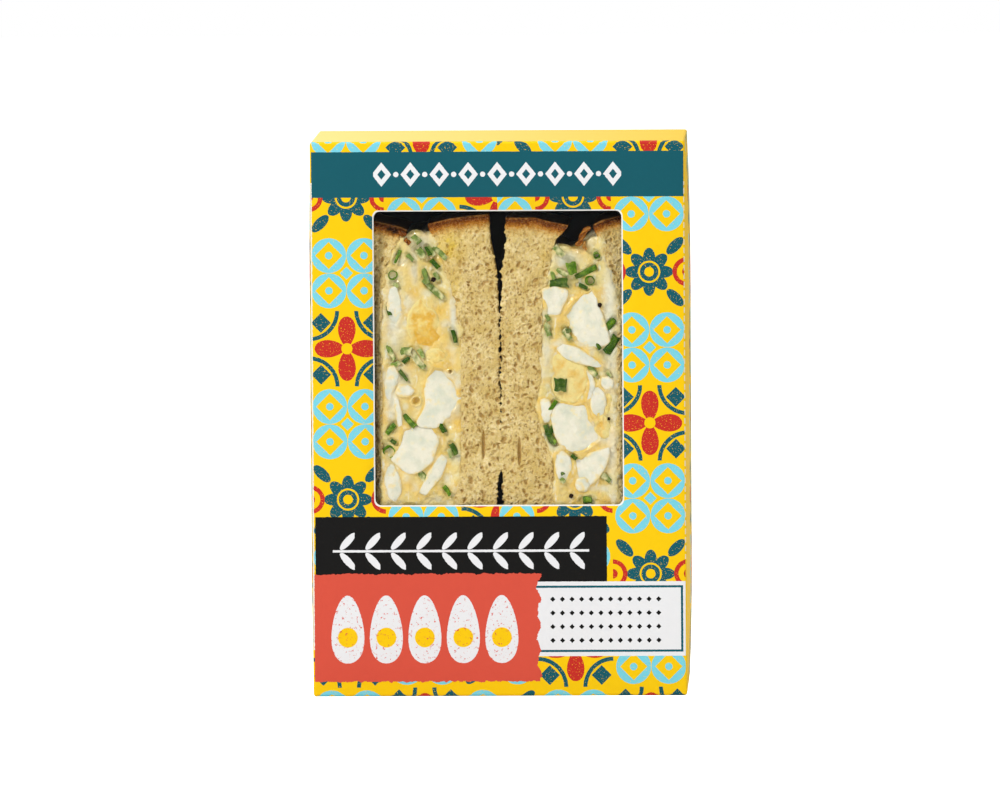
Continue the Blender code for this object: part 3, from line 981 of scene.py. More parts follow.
leftWhites = [
    [(-17.6, 89.4), (-15.0, 88.6), (-12.2, 85.8), (-9.8, 80.4), (-11.4, 77.6), (-16.6, 72.7),
     (-21.4, 72.9), (-22.2, 74.4), (-20.3, 77.4), (-19.4, 79.6), (-20.0, 82.5), (-19.2, 86.2)],
    [(-25.9, 72.5), (-22.0, 73.0), (-18.2, 72.9), (-17.4, 71.9), (-16.3, 68.9), (-17.4, 65.9),
     (-18.2, 63.4), (-21.0, 61.2), (-22.9, 60.2), (-25.1, 60.6), (-27.3, 62.6), (-29.1, 64.2),
     (-27.6, 65.9), (-26.8, 68.3), (-26.4, 70.8)],
    [(-26.9, 84.1), (-24.7, 84.1), (-22.8, 82.7), (-23.6, 81.6), (-26.1, 81.0), (-27.8, 81.8)],
    [(-28.2, 80.5), (-27.2, 80.7), (-26.5, 77.5), (-26.1, 73.3), (-27.2, 72.9), (-27.8, 77.0)],
    [(-15.8, 65.4), (-13.9, 64.0), (-15.6, 59.9), (-19.6, 54.4), (-21.7, 55.4), (-18.9, 60.4)],
    [(-29.2, 110.2), (-27.5, 110.9), (-26.4, 107.5), (-26.1, 103.0), (-27.3, 100.1), (-29.2, 101.2),
     (-29.8, 105.5)],
    [(-30.0, 88.8), (-28.2, 89.4), (-27.0, 87.0), (-27.6, 84.6), (-28.9, 82.2), (-29.3, 79.4),
     (-30.4, 80.5), (-30.6, 84.5)],
    [(-30.3, 62.2), (-28.6, 62.8), (-27.1, 59.5), (-26.4, 55.5), (-28.0, 52.6), (-30.2, 53.6),
     (-30.9, 58.0)],
]
rightWhites = [
    [(11.9, 109.9), (15.0, 110.6), (18.7, 109.6), (18.5, 107.6), (17.3, 105.4), (16.4, 103.0),
     (13.3, 102.8), (12.5, 106.3)],
    [(17.4, 102.7), (20.3, 106.7), (23.0, 108.8), (25.4, 109.8), (26.4, 108.3), (26.7, 105.9),
     (28.3, 101.9), (29.6, 98.1), (30.1, 96.0), (29.1, 94.9), (26.7, 94.4), (24.5, 93.9),
     (22.1, 95.5), (20.3, 98.1), (18.7, 100.8)],
    [(15.6, 94.0), (17.3, 95.3), (20.5, 94.4), (24.0, 92.3), (28.3, 89.4), (27.7, 88.5),
     (23.4, 89.6), (18.1, 91.2)],
    [(15.3, 78.8), (17.5, 79.1), (20.8, 78.7), (23.3, 79.4), (24.1, 77.2), (24.8, 75.0),
     (26.3, 72.5), (27.6, 70.0), (27.4, 68.9), (24.6, 66.7), (22.7, 65.9), (21.0, 65.6),
     (18.5, 66.7), (16.3, 68.3), (15.2, 70.8), (14.7, 73.3), (14.2, 75.5)],
    [(11.3, 79.9), (12.3, 80.3), (13.7, 79.7), (14.5, 77.2), (13.6, 74.4), (12.3, 74.0),
     (11.6, 75.8), (11.2, 78.0)],
    [(20.4, 63.7), (23.7, 65.0), (27.3, 66.4), (29.8, 67.0), (29.5, 63.9), (27.8, 60.6),
     (26.2, 58.2), (24.3, 57.1), (22.6, 57.9), (21.0, 59.8), (20.2, 62.0)],
    [(23.4, 88.6), (25.2, 86.7), (26.0, 84.0), (25.5, 81.0), (23.7, 79.8), (24.6, 82.3),
     (24.6, 85.2)],
    [(28.0, 85.9), (29.6, 86.1), (31.0, 85.1), (30.7, 83.2), (28.8, 82.6), (27.7, 84.0)],
    [(25.3, 83.2), (26.9, 84.0), (28.5, 82.4), (28.8, 79.1), (28.2, 76.1), (26.3, 75.3),
     (25.0, 78.0)],
    [(15.2, 65.3), (17.1, 66.2), (19.0, 64.5), (19.5, 61.3), (18.4, 58.3), (16.5, 57.8),
     (15.6, 59.9)],
    [(21.1, 58.3), (23.2, 58.9), (24.3, 57.2), (23.5, 55.4), (21.6, 55.4), (20.8, 56.7)],
]
leftYolks = [
    [(-24.7, 99.7), (-24.1, 103.4), (-22.5, 106.0), (-20.9, 107.2), (-19.4, 105.5), (-17.3, 104.2),
     (-16.4, 101.9), (-15.0, 98.6), (-15.2, 96.2), (-16.6, 94.2), (-19.9, 93.8), (-22.9, 95.2)],
    [(-19.7, 93.2), (-16.8, 94.0), (-14.3, 92.6), (-14.1, 90.5), (-16.8, 89.1), (-19.2, 90.2)],
]
rightYolks = [
    [(14.3, 85.4), (14.6, 88.8), (14.9, 91.6), (17.0, 92.6), (19.6, 91.9), (22.0, 90.3),
     (23.5, 87.8), (23.9, 84.7), (23.0, 81.6), (20.9, 79.7), (17.9, 79.4), (15.2, 81.2)],
    [(25.2, 74.7), (26.9, 76.6), (28.8, 75.5), (29.9, 73.0), (29.7, 70.3), (27.9, 69.4),
     (26.3, 71.7)],
    [(28.5, 81.8), (29.9, 82.4), (30.7, 79.7), (30.4, 76.7), (29.0, 76.4), (28.4, 79.1)],
]
# Chives, as (x, height) of both ends, width, and how each lies: g bright, d dark, v under
# mayonnaise, r a ring end on, t an open tube, s a dark flattened piece, b a bright one
leftChives = [
    (-26.3, 120.7, -27.8, 117.2, 0.9, "g"), (-29.6, 115.0, -27.4, 113.1, 1.4, "r"),
    (-19.3, 121.6, -18.2, 119.2, 1.2, "d"), (-18.0, 118.0, -15.9, 115.8, 1.4, "d"),
    (-19.0, 121.5, -17.0, 119.2, 1.4, "v"), (-20.1, 115.6, -18.8, 111.5, 1.5, "v"),
    (-18.6, 111.0, -14.8, 107.7, 1.8, "v"), (-29.9, 105.6, -29.1, 103.1, 1.1, "d"),
    (-12.4, 99.1, -11.5, 95.6, 1.2, "d"), (-30.3, 94.8, -28.1, 91.0, 1.4, "v"),
    (-26.3, 93.2, -23.3, 93.2, 2.4, "v"), (-23.3, 93.2, -20.0, 88.8, 1.9, "v"),
    (-26.8, 88.2, -24.6, 85.4, 1.0, "d"), (-25.6, 76.1, -22.5, 72.9, 1.6, "g"),
    (-16.0, 74.1, -14.5, 71.4, 1.4, "d"), (-30.3, 71.0, -28.1, 73.7, 1.4, "g"),
    (-29.2, 69.4, -27.8, 68.5, 1.1, "d"), (-30.7, 67.8, -28.7, 64.5, 2.2, "r"),
    (-22.2, 61.7, -18.8, 57.6, 1.9, "v"), (-13.0, 68.3, -11.6, 65.3, 1.4, "d"),
    (-15.0, 56.8, -13.3, 54.3, 1.2, "g"), (-23.0, 124.4, -21.0, 122.6, 1.8, "v"),
    (-17.4, 121.6, -13.9, 118.2, 1.5, "v"), (-21.6, 121.0, -20.0, 118.8, 2.0, "v"),
    (-24.4, 119.4, -22.8, 117.8, 1.2, "v"), (-20.2, 112.6, -17.8, 110.4, 1.3, "v"),
    (-28.9, 89.4, -26.6, 90.4, 1.5, "v"), (-21.6, 93.9, -20.2, 91.6, 1.3, "v"),
    (-25.8, 90.3, -24.1, 91.7, 1.2, "d"), (-17.2, 114.6, -16.0, 112.6, 1.2, "v"),
    (-28.4, 111.8, -27.0, 110.6, 1.3, "v"), (-13.6, 66.9, -12.8, 64.6, 1.3, "v"),
]
rightChives = [
    (15.2, 121.6, 17.9, 119.0, 1.9, "v"), (19.6, 117.2, 20.3, 114.0, 2.7, "b"),
    (20.8, 113.0, 26.6, 116.0, 1.7, "g"), (14.1, 111.0, 18.8, 111.7, 2.8, "d"),
    (23.3, 112.3, 26.2, 112.1, 2.2, "r"), (21.8, 111.2, 24.1, 110.2, 1.1, "d"),
    (26.0, 119.8, 27.2, 118.3, 1.4, "r"), (14.4, 114.8, 15.2, 112.6, 1.1, "v"),
    (15.8, 115.3, 18.8, 113.7, 1.4, "v"), (29.2, 99.2, 31.4, 101.7, 1.9, "g"),
    (29.0, 92.7, 31.9, 97.2, 2.4, "d"), (26.4, 95.5, 27.5, 93.6, 1.2, "d"),
    (12.9, 99.7, 13.8, 97.3, 1.4, "v"), (13.0, 103.2, 13.7, 101.4, 1.2, "v"),
    (17.8, 99.2, 19.5, 96.3, 1.5, "v"), (16.7, 85.8, 16.6, 82.4, 3.4, "s"),
    (13.6, 77.4, 15.6, 79.9, 1.4, "g"), (12.6, 73.3, 14.8, 68.3, 1.6, "d"),
    (14.8, 72.9, 13.0, 70.2, 1.4, "d"), (14.2, 69.1, 15.3, 68.3, 1.4, "g"),
    (19.6, 65.1, 21.0, 64.0, 1.1, "d"), (16.3, 61.2, 17.4, 59.7, 1.1, "d"),
    (27.8, 59.8, 30.0, 57.9, 1.6, "v"), (22.6, 52.9, 25.0, 52.9, 1.9, "g"),
    (24.5, 89.3, 26.4, 86.5, 1.6, "v"), (12.6, 100.6, 13.9, 99.6, 1.3, "v"),
    (18.2, 98.6, 19.6, 98.9, 1.3, "d"), (16.6, 58.9, 17.6, 57.6, 1.3, "v"),
    (29.3, 87.6, 30.4, 86.2, 1.1, "v"),
]
filling = {
    "faceOfPieces": -28.66,  # how far forward the flat faces of the egg come
    "faceOfChives": -28.84,
    "mash": -27.85,  # and the mayonnaise between them
    "mostForward": -28.8,
    "cell": 0.0002,
    "columns": 97,
    "around": 72,  # points round a piece of egg
    "edge": 0.55,  # radius of the softened edges of the egg
    "under": 0.4,  # how far its rim reaches under the mayonnaise
    "hidden": (6, 5.0, 7.6),  # rows of drawn pieces, height of the first, spacing
    "chiveWall": 0.22,
    # How each kind of chive lies, where that is not drawn at random
    "flat": {"r": 0.95, "t": 0.9, "s": 0.2, "b": 0.2},
    "lean": {"t": 0.5, "s": 0.05, "b": 0.05, "r": 1.25},
    "dark": {"d": 0.85, "t": 0.5, "s": 0.9, "b": 0.1},
}
leftMashTop = [
    (-0.034, 0.1240), (-0.0275, 0.1252), (-0.0235, 0.1258), (-0.0195, 0.1264), (-0.0165, 0.1250),
    (-0.013, 0.1235),
]
rightMashTop = [
    (0.012, 0.1215), (0.0165, 0.1222), (0.0200, 0.1210), (0.0220, 0.1222), (0.0245, 0.1246),
    (0.0275, 0.1260), (0.033, 0.1255),
]
# Ground pepper, as (x, height, radius)
pepperSpecks = [
    (-17.4, 112.7, 0.72), (27.4, 105.6, 0.68), (29.7, 74.9, 0.5), (19.4, 54.1, 0.65),
    (-24.2, 47.0, 0.5), (22.0, 38.0, 0.6), (-19.0, 24.0, 0.6), (26.0, 15.0, 0.5),
]


def fromRun(x, z, start, end):
    # Distance in mm to the straight run between two points
    side = np.subtract(end, start)
    share = ((x - start[0]) * side[0] + (z - start[1]) * side[1]) / (side @ side)
    share = np.clip(share, 0.0, 1.0)
    return np.hypot(x - start[0] - share * side[0], z - start[1] - share * side[1])


def fromOutline(x, z, outline):
    # Distance in mm to the edge of an outline, negative inside it
    corners = np.array(outline)
    nearest = np.full(len(x), 1e9)
    inside = np.zeros(len(x), bool)
    for first, second in zip(corners, np.roll(corners, -1, axis=0)):
        nearest = np.minimum(nearest, fromRun(x, z, first, second))
        side = second - first
        crosses = (first[1] > z) != (second[1] > z)
        at = first[0] + (z - first[1]) * side[0] / (side[1] if side[1] else 1e-9)
        inside ^= crosses & (x < at)
    return np.where(inside, -nearest, nearest)


def drawnPieces(left, right, seed):
    # Egg and chives for the part of the filling that the carton hides
    draw = random.Random(seed)
    whites = []
    yolks = []
    chives = []
    count, lowest, spacing = filling["hidden"]
    for row in range(count):
        z = lowest + spacing * row
        low = float(level(left, z * mm)) / mm
        high = float(level(right, z * mm)) / mm
        for column in (0.3, 0.72):
            x = low + (high - low) * (column + draw.uniform(-0.05, 0.05))
            size = draw.uniform(2.2, 3.4)
            start = draw.uniform(0, 1)
            outline = []
            for i in range(8):
                angle = -2 * math.pi * (i + start) / 8
                reach = size * draw.uniform(0.8, 1.15)
                outline.append((x + reach * math.cos(angle), z + reach * math.sin(angle)))
            (yolks if draw.random() < 0.3 else whites).append(outline)
            x = low + (high - low) * draw.uniform(0.2, 0.8)
            angle = draw.uniform(0, math.pi)
            length = draw.uniform(1.2, 3.0)
            chives.append((
                x, z + 3.5, x + length * math.cos(angle), z + 3.5 + length * math.sin(angle),
                draw.uniform(1.1, 2.2), draw.choice("gdvrt"),
            ))
    return whites, yolks, chives


def mashMaterial():
    # Mayonnaise with mashed yolk: creamy, wet, with soft yellow clouds and small highlights
    made, tree, shader = newMaterial("egg mayonnaise with mashed yolk", {
        "Roughness": 0.4, "IOR": 1.45, "Coat Weight": 0.8, "Coat Roughness": 0.05,
        "Subsurface Weight": 0.12, "Subsurface Radius": (1.0, 0.9, 0.6),
        "Subsurface Scale": 0.0008,
    })
    place = placeInMm(tree)
    broad = noiseField(tree, place, 0.24)
    middle = noiseField(tree, place, 0.42)
    fine = noiseField(tree, place, 1.5)
    drawn = addNode(tree, "Mapping", {"Vector": place, "Scale": (1.0, 1.0, 0.45)})
    streaks = noiseField(tree, drawn.outputs[0], 0.75, 3.0, 0.55)
    colour = layered(
        tree, "#E6CF7F", (broad, 5.0, -2.3, "#E5BE56"), (middle, 3.0, -1.6, "#EEE8C0"),
        (fine, 1.6, -1.0, "#DBBB60"), (streaks, 7.0, -4.1, "#F1ECD2"),
        (streaks, -5.0, 1.9, "#E0B752"),
    )
    colour = over(tree, colour, attribute(tree, "yolk") * (middle + 0.4), "#E8BE4C")
    colour = over(tree, colour, attribute(tree, "veil") * (middle + 0.5), "#E0DCC2")
    colour = over(tree, colour, attribute(tree, "green") * (fine + 0.35), "#A3A765")
    setSurface(tree, shader, colour, noiseField(tree, place, 0.75, 2.5), 0.0006)
    return made


def whiteMaterial():
    # Hard-boiled egg white: smooth, faintly see-through gel with a moist sheen
    made, tree, shader = newMaterial("hard-boiled egg white", {
        "Roughness": 0.3, "IOR": 1.4, "Subsurface Weight": 0.3,
        "Subsurface Radius": (1.0, 0.9, 0.7), "Subsurface Scale": 0.0014,
    })
    place = placeInMm(tree)
    clouds = noiseField(tree, place, 0.28, 3.0)
    smears = noiseField(tree, place, 0.55, 4.0, 0.6)
    colour = layered(
        tree, "#EBE6D0", (clouds, 4.5, -1.9, "#D9DAC4"), (smears, 6.0, -3.4, "#F0E2AE")
    )
    covered = attribute(tree, "rim") * 1.35 + (smears - 0.5) * 3.4 - 0.5
    colour = over(tree, colour, covered, "#EDD48E")
    setSurface(tree, shader, colour, noiseField(tree, place, 0.7, 3.0), 0.0004)
    return made


def yolkMaterial():
    # Hard-boiled yolk: matt, crumbly, deep yellow with mayonnaise in its hollows
    made, tree, shader = newMaterial("hard-boiled egg yolk", {
        "Roughness": 0.45, "Subsurface Weight": 0.12, "Subsurface Radius": (1.0, 0.75, 0.35),
        "Subsurface Scale": 0.0007,
    })
    place = placeInMm(tree)
    broad = noiseField(tree, place, 0.3, 3.0, 0.55)
    grain = noiseField(tree, place, 1.4, 4.0, 0.65)
    colour = layered(
        tree, "#E4B030", (broad, 6.0, -2.8, "#F0CE66"), (grain, 4.0, -2.2, "#F3E19C")
    )
    covered = attribute(tree, "rim") * 1.6 + (broad - 0.5) * 3.2 - 0.35
    setSurface(tree, shader, over(tree, colour, covered, "#EEDA8C"), grain, 0.0004)
    return made


def chiveMaterial():
    # Cut chive: thin green tube, satin, lined along its length and paler inside
    made, tree, shader = newMaterial("cut chive", {"Roughness": 0.4, "Specular IOR Level": 0.12})
    place = placeInMm(tree)
    mottle = noiseField(tree, place, 0.9, 3.0, 0.55)
    colour = layered(tree, "#446C02", (mottle, 5.0, -2.3, "#7A9F12"))
    colour = over(tree, colour, attribute(tree, "dark") * 0.8, "#173A00")
    veiled = attribute(tree, "veil")
    smear = noiseField(tree, place, 0.45).apply("MULTIPLY_ADD", 4.2, -1.85)
    colour = over(tree, colour, veiled * 0.34, "#A3A868")
    colour = over(tree, colour, (veiled * smear).apply("MAXIMUM", 0.0), "#E2D7A2")
    setSurface(tree, shader, colour, mottle, 0.0002)
    return made


def softOutline(outline, count):
    # The outline with its corners cut twice, as evenly spaced points
    points = np.array(outline)
    for _ in range(2):
        following = np.roll(points, -1, axis=0)
        cut = np.stack(
            [points * 0.86 + following * 0.14, points * 0.14 + following * 0.86], axis=1
        )
        points = cut.reshape(-1, 2)
    closed = np.vstack([points, points[:1]])
    along = np.concatenate([[0.0], np.cumsum(np.hypot(*np.diff(closed, axis=0).T))])
    at = np.linspace(0.0, along[-1], count, endpoint=False)
    return list(zip(*[np.interp(at, along, closed[:, axis]) for axis in (0, 1)]))


def eggPieces(name, outlines, paleness, node, material, crumbly, seed):
    # All the pieces of one kind in one half. Each starts as a ball whose near part is spread
    # over the outline and whose far part becomes the sides and back of the chunk
    draw = random.Random(seed)
    around = filling["around"]
    edge = filling["edge"]
    shapes = []
    rims = []
    for outline, pale in zip(outlines, paleness):
        rim = softOutline(outline, around)
        middleX = sum(x for x, z in rim) / around
        middleZ = sum(z for x, z in rim) / around
        deep = draw.uniform(3.2, 5.0)
        facets = []
        for _ in range(3):
            angle = draw.uniform(0, 2 * math.pi)
            slope = draw.uniform(0.08, 0.2)
            start = draw.uniform(0.1, 0.35)
            facets.append((slope * math.cos(angle), slope * math.sin(angle), start))
        shape = bmesh.new()
        bmesh.ops.create_uvsphere(shape, u_segments=around, v_segments=24, radius=1.0)
        for vert in shape.verts:
            step = round(math.atan2(vert.co.y, vert.co.x) / (2 * math.pi) * around) % around
            down = math.acos(max(-1.0, min(1.0, vert.co.z))) / math.pi
            edgeX, edgeZ = rim[step]
            far = math.hypot(edgeX - middleX, edgeZ - middleZ)
            edgeX += (edgeX - middleX) / far * filling["under"]
            edgeZ += (edgeZ - middleZ) / far * filling["under"]
            if down < 0.7:
                # The cut face, denser towards its rounded edge
                share = 1 - (1 - down / 0.7) ** 1.4
                inset = (1 - share) * far
                past = max(0.0, edge - inset)
                y = edge - math.sqrt(edge ** 2 - past ** 2)
            else:
                # The sides, and the back from two thirds of the rest on
                back = (down - 0.7) / 0.3
                share = (1 - 0.14 * min(back * 1.5, 1.0)) * (1 if back < 0.67 else (1 - back) * 3)
                inset = 0.0
                y = edge + (deep - edge) * min(back * 1.5, 1.0)
            x = middleX + (edgeX - middleX) * share
            z = middleZ + (edgeZ - middleZ) * share
            lean = max(0.0, *(a * (x - middleX) + b * (z - middleZ) - c for a, b, c in facets))
            vert.co = Vector((x, filling["faceOfPieces"] + y + lean + crumbly, z))
            rims.append(max(pale, math.exp(-inset / (1.3 if crumbly else 0.8))))
        bmesh.ops.recalc_face_normals(shape, faces=shape.faces)
        shapes.append(shape)
    mesh = joined(shapes, name)
    x, y, z = coordinates(mesh).T
    if crumbly:
        y += crumbly * (lumps(x, z, 1.3, seed) * 0.6 + lumps(x, z, 0.5, seed + 1) * 0.4 + 0.5)
        x += crumbly * 0.6 * lumps(y + x, z, 0.9, seed + 2)
        z += crumbly * 0.6 * lumps(x, z - y, 0.9, seed + 3)
    else:
        y += 0.08 * lumps(x, z, 1.9, seed) + 0.06
    moveTo(mesh, x, np.maximum(y, filling["mostForward"]), z)
    writeAttributes(mesh, rim=rims)
    mesh.shade_smooth()
    addPiece(name, mesh, [material], "filling", node)


def pepperPiece():
    # Ground black pepper: a few angular specks, dark brown and dull
    shapes = []
    draw = random.Random(5)
    for x, z, radius in pepperSpecks:
        shape = bmesh.new()
        bmesh.ops.create_icosphere(shape, subdivisions=2, radius=radius)
        for vert in shape.verts:
            vert.co *= draw.uniform(0.8, 1.1)
            vert.co.y = vert.co.y * 0.6
            vert.co = (vert.co + Vector((x, filling["faceOfPieces"] + 0.2, z))) * mm
        shapes.append(shape)
    made, tree, shader = newMaterial("ground black pepper", {
        "Roughness": 0.85, "Specular IOR Level": 0.1,
    })
    flecks = noiseField(tree, placeInMm(tree), 2.5, 3.0)
    tree.links.new(over(tree, "#170E06", flecks * 0.6, "#3E2812"), shader.inputs["Base Color"])
    mesh = joined(shapes, "pepper")
    addPiece("pepper", mesh, [made], "filling", "left_filling", "right_filling")


def chivePieces(name, rows, node, material, seed):
    draw = random.Random(seed)
    shapes = []
    darkness = []
    veils = []
    for x0, z0, x1, z1, width, kind in rows:
        length = math.hypot(x1 - x0, z1 - z0)
        turned = math.atan2(z1 - z0, x1 - x0)
        flat = filling["flat"].get(kind, draw.uniform(0.5, 0.7))
        radius = width / 2
        if kind == "r":
            radius = max(length, width) / 2 * 0.92
            length = draw.uniform(1.2, 1.8)
        shape = bmesh.new()
        bmesh.ops.create_cone(
            shape, cap_ends=False, segments=18, radius1=radius,
            radius2=radius * draw.uniform(0.86, 1.0), depth=length,
        )
        runs = [e for e in shape.edges if abs(e.verts[0].co.z - e.verts[1].co.z) > length / 2]
        bmesh.ops.subdivide_edges(shape, edges=runs, cuts=4)
        bmesh.ops.recalc_face_normals(shape, faces=shape.faces)
        bow = draw.uniform(-0.06, 0.06) * length
        phase = draw.uniform(0, 6)
        for vert in shape.verts:
            share = vert.co.z / length * 2
            pinch = 1 + 0.08 * math.sin(share * 2.5 + phase)
            vert.co.x = vert.co.x * pinch + bow * (1 - share * share)
            vert.co.y = vert.co.y * flat * pinch
            vert.co.z += 0.12 * math.sin(vert.co.x * 3 + phase) * radius
        wall = min(filling["chiveWall"], radius * 0.3)
        bmesh.ops.solidify(shape, geom=list(shape.faces), thickness=wall)
        bmesh.ops.recalc_face_normals(shape, faces=shape.faces)
        # The tube lies along the face, or shows its end to the window
        lean = filling["lean"].get(kind, draw.uniform(0.05, 0.3))
        flatness = math.cos(lean)
        along = Vector((math.cos(turned) * flatness, -math.sin(lean), math.sin(turned) * flatness))
        across = Vector((-math.sin(turned), 0.0, math.cos(turned)))
        matrix = Matrix((across, along.cross(across), along)).transposed().to_4x4()
        bmesh.ops.transform(shape, matrix=matrix, verts=shape.verts)
        near = min(v.co.y for v in shape.verts)
        sunk = 0.2 if kind == "v" else 0.04
        place = Vector(((x0 + x1) / 2, filling["faceOfChives"] + sunk - near, (z0 + z1) / 2))
        bmesh.ops.translate(shape, vec=place, verts=shape.verts)
        bmesh.ops.scale(shape, vec=(mm, mm, mm), verts=shape.verts)
        veil = 1.0 if kind == "v" else draw.uniform(0.0, 0.12)
        dark = filling["dark"].get(kind, draw.uniform(0.0, 0.3))
        veils += [veil] * len(shape.verts)
        darkness += [dark] * len(shape.verts)
        shapes.append(shape)
    mesh = joined(shapes, name)
    writeAttributes(mesh, veil=veils, dark=darkness)
    mesh.shade_smooth()
    mesh.set_sharp_from_angle(angle=math.radians(50))
    addPiece(name, mesh, [material], "filling", node)


def mashPiece(name, node, layer, whites, yolks, chives, seed, material):
    deep = np.array([0.0, 0.01, 0.04, 0.1, 0.25, 0.45, 0.65, 0.8, 0.9, 0.96, 1.0])
    across = np.linspace(0, 1, filling["columns"])
    mesh, fractions = gridBox(name, across, deep, rowTable(filling["cell"]))
    x, y, z, top = layerPlaces(fractions, layer)
    front = fractions[:, 1] < 1e-6
    side = 2 * fractions[:, 0] - 1
    reach = np.where(side < 0, layer["reach"][0], layer["reach"][1])
    uneven = 1 + 0.55 * lumps(x * 0.1, z, 2.6, seed + 21) + 0.3 * lumps(x * 0.1, z, 0.8, seed + 22)
    atFront = np.exp(-(y - sandwich["cutFace"] / mm) / 1.5)
    x = x + np.sign(side) * np.abs(side) ** 6 * (reach * uneven) * atFront
    toSide = (1 - np.abs(side)) * 9.7
    # It fills the hollows of the yolks, thins over the egg and swells round the whites
    near = np.full(len(x), 9.0)
    inside = np.zeros(len(x))
    for outlines, hollowed in ((whites, False), (yolks, True)):
        for outline in outlines:
            away = fromOutline(x, z, outline)
            covered = smoothStep(-away / 1.5)
            if hollowed:
                covered = covered * (0.75 + 0.7 * lumps(x, z, 1.7, seed + 30))
            else:
                near = np.minimum(near, np.abs(away))
            inside = np.maximum(inside, covered)
    relief = 0.42 * lumps(x, z, 3.1, seed) + 0.16 * lumps(x, z, 1.35, seed + 1)
    relief += 0.03 * lumps(x, z, 0.7, seed + 2) + 0.42 * np.exp(-near / 0.8) - 0.6 * inside
    green = np.zeros(len(x))
    for x0, z0, x1, z1, width, kind in chives:
        away = fromRun(x, z, (x0, z0), (x1, z1)) / (width / 2 + 0.25)
        relief -= (0.3 if kind == "v" else 0.5) * np.exp(-away ** 4)
        green = np.maximum(green, 0.4 * np.exp(-(away / 1.6) ** 2))
    fromTop = np.clip(top - z, 0.0, None)
    relief -= 1.3 * np.exp(-fromTop / 1.0)
    relief += 0.35 * np.exp(-((toSide - 1.1) / 0.9) ** 2) - 0.55 * np.exp(-toSide / 0.3)
    for middleX, middleZ, outer in layer["bubbles"]:
        away = np.hypot(x - middleX, z - middleZ)
        relief += 0.65 * np.exp(-((away - outer * 0.85) / 0.3) ** 2)
        relief -= 1.0 * np.exp(-(away / (outer * 0.55)) ** 4)
    y = np.where(front, np.maximum(filling["mash"] - relief, filling["mostForward"]), y)
    ragged = 0.7 * lumps(x, y * 0.5, 2.8, seed + 4) + 0.35 * lumps(x, y, 1.1, seed + 5) - 0.2
    z = z + ragged * np.exp(-fromTop / 1.5) * (fractions[:, 2] > 0.5)
    moveTo(mesh, x, y, z)
    tones = {
        "yolk": np.clip(0.9 * lumps(x, z, 4.0, seed + 7) - 0.25, 0.0, 1.0),
        "veil": np.clip(1.1 * lumps(x, z, 2.8, seed + 8) - 0.35, 0.0, 1.0),
    }
    for kind, *spot, amount in layer["spots"]:
        tones[kind] = np.maximum(tones[kind], amount * np.exp(-fromSpot(x, z, *spot)))
    outlined = 0.75 * np.exp(-((near - 0.35) / 0.5) ** 2)
    tones["yolk"] = np.maximum(tones["yolk"], outlined)
    writeAttributes(mesh, **tones, green=green)
    mesh.shade_smooth()
    addPiece(name, mesh, [material], "filling", node)


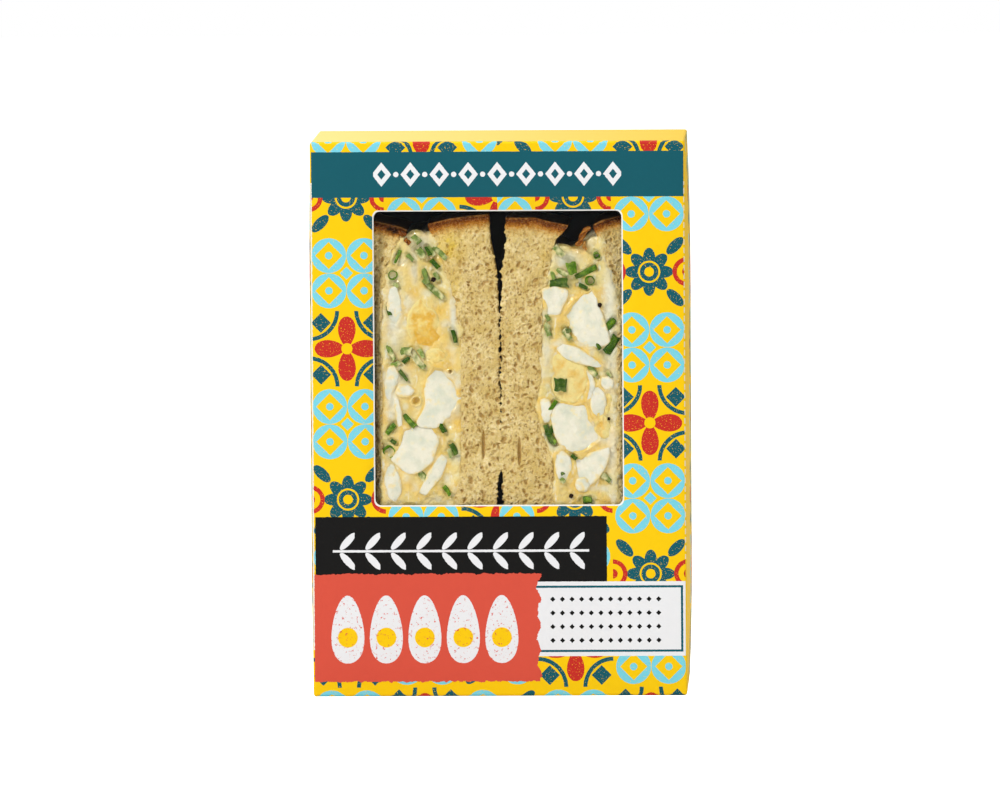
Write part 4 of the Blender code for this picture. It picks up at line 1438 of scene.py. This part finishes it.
# Spots are ovals of yolk or mayonnaise, as (kind, x, height, half width, half height, amount),
# bubbles are (x, height, radius), and reach is how far the mayonnaise spreads to each side
halves = (
    ("left", {
        "left": leftOuterToFilling, "right": leftFillingToInner, "top": leftMashTop,
        "reach": (1.1, 1.3), "bubbles": [(-22.3, 79.9, 1.5), (-13.0, 87.8, 0.8)],
        "spots": [
            ("veil", -28.2, 103.0, 2.3, 10.0, 1.0), ("yolk", -18.5, 97.0, 5.5, 9.0, 0.8),
            ("veil", -29.0, 58.0, 1.8, 6.0, 0.8), ("veil", -28.6, 81.0, 1.8, 7.0, 0.9),
            ("yolk", -22.0, 114.0, 3.0, 8.0, 0.5), ("veil", -12.2, 102.0, 1.0, 8.0, 0.9),
            ("yolk", -16.0, 66.0, 3.0, 9.0, 0.5), ("veil", -20.5, 122.5, 2.6, 2.6, 0.7),
            ("yolk", -22.0, 57.0, 5.0, 5.0, 0.5), ("yolk", -17.0, 91.0, 3.5, 2.5, 0.8),
            ("yolk", -22.3, 79.9, 0.9, 0.9, 1.0), ("yolk", -13.0, 87.8, 0.5, 0.5, 1.0),
            ("veil", -26.6, 86.0, 3.0, 3.6, 0.8), ("veil", -24.0, 106.5, 1.6, 2.4, 0.6),
        ],
        "pale": [0.0, 0.35],
        "covered": [0.0, 0.0, 0.25, 0.25, 0.15, 0.3, 0.3, 0.35],
    }, leftWhites, leftYolks, leftChives, 41),
    ("right", {
        "left": rightInnerToFilling, "right": rightFillingToOuter, "top": rightMashTop,
        "reach": (1.0, 1.6), "bubbles": [],
        "spots": [
            ("veil", 30.2, 100.0, 1.9, 20.0, 1.0), ("yolk", 15.0, 96.0, 2.5, 6.0, 0.2),
            ("veil", 18.5, 118.0, 3.8, 2.2, 0.9), ("yolk", 22.5, 120.0, 3.0, 3.0, 0.5),
            ("yolk", 26.0, 90.0, 2.0, 4.0, 0.35), ("veil", 13.0, 93.0, 1.4, 6.0, 0.7),
            ("yolk", 26.5, 71.0, 2.5, 5.0, 0.6), ("veil", 30.5, 66.0, 1.6, 8.0, 0.8),
        ],
        "pale": [0.74, 0.62, 0.5],
        "covered": [0.1, 0.0, 0.1, 0.0, 0.0, 0.0, 0.25, 0.0, 0.15, 0.25, 0.3],
    }, rightWhites, rightYolks, rightChives, 61),
)


def makeFillings():
    mash = mashMaterial()
    white = whiteMaterial()
    yolk = yolkMaterial()
    chive = chiveMaterial()
    for side, layer, whites, yolks, chives, seed in halves:
        moreWhites, moreYolks, moreChives = drawnPieces(layer["left"], layer["right"], seed)
        whites = whites + moreWhites
        yolks = yolks + moreYolks
        chives = chives + moreChives
        node = side + "_filling"
        layer["centre"] = (layer["left"][3][1] + layer["right"][3][1]) / 2
        mashPiece(side + "Mash", node, layer, whites, yolks, chives, seed, mash)
        pale = layer["pale"] + [0.2] * len(moreYolks)
        covered = layer["covered"] + [0.0] * len(moreWhites)
        eggPieces(side + "EggWhites", whites, covered, node, white, 0.0, seed + 11)
        eggPieces(side + "Yolks", yolks, pale, node, yolk, 0.3, seed + 12)
        chivePieces(side + "Chives", chives, node, chive, seed + 13)
        print(side, "filling")
    pepperPiece()


makeFillings()

bpy.context.view_layer.update()
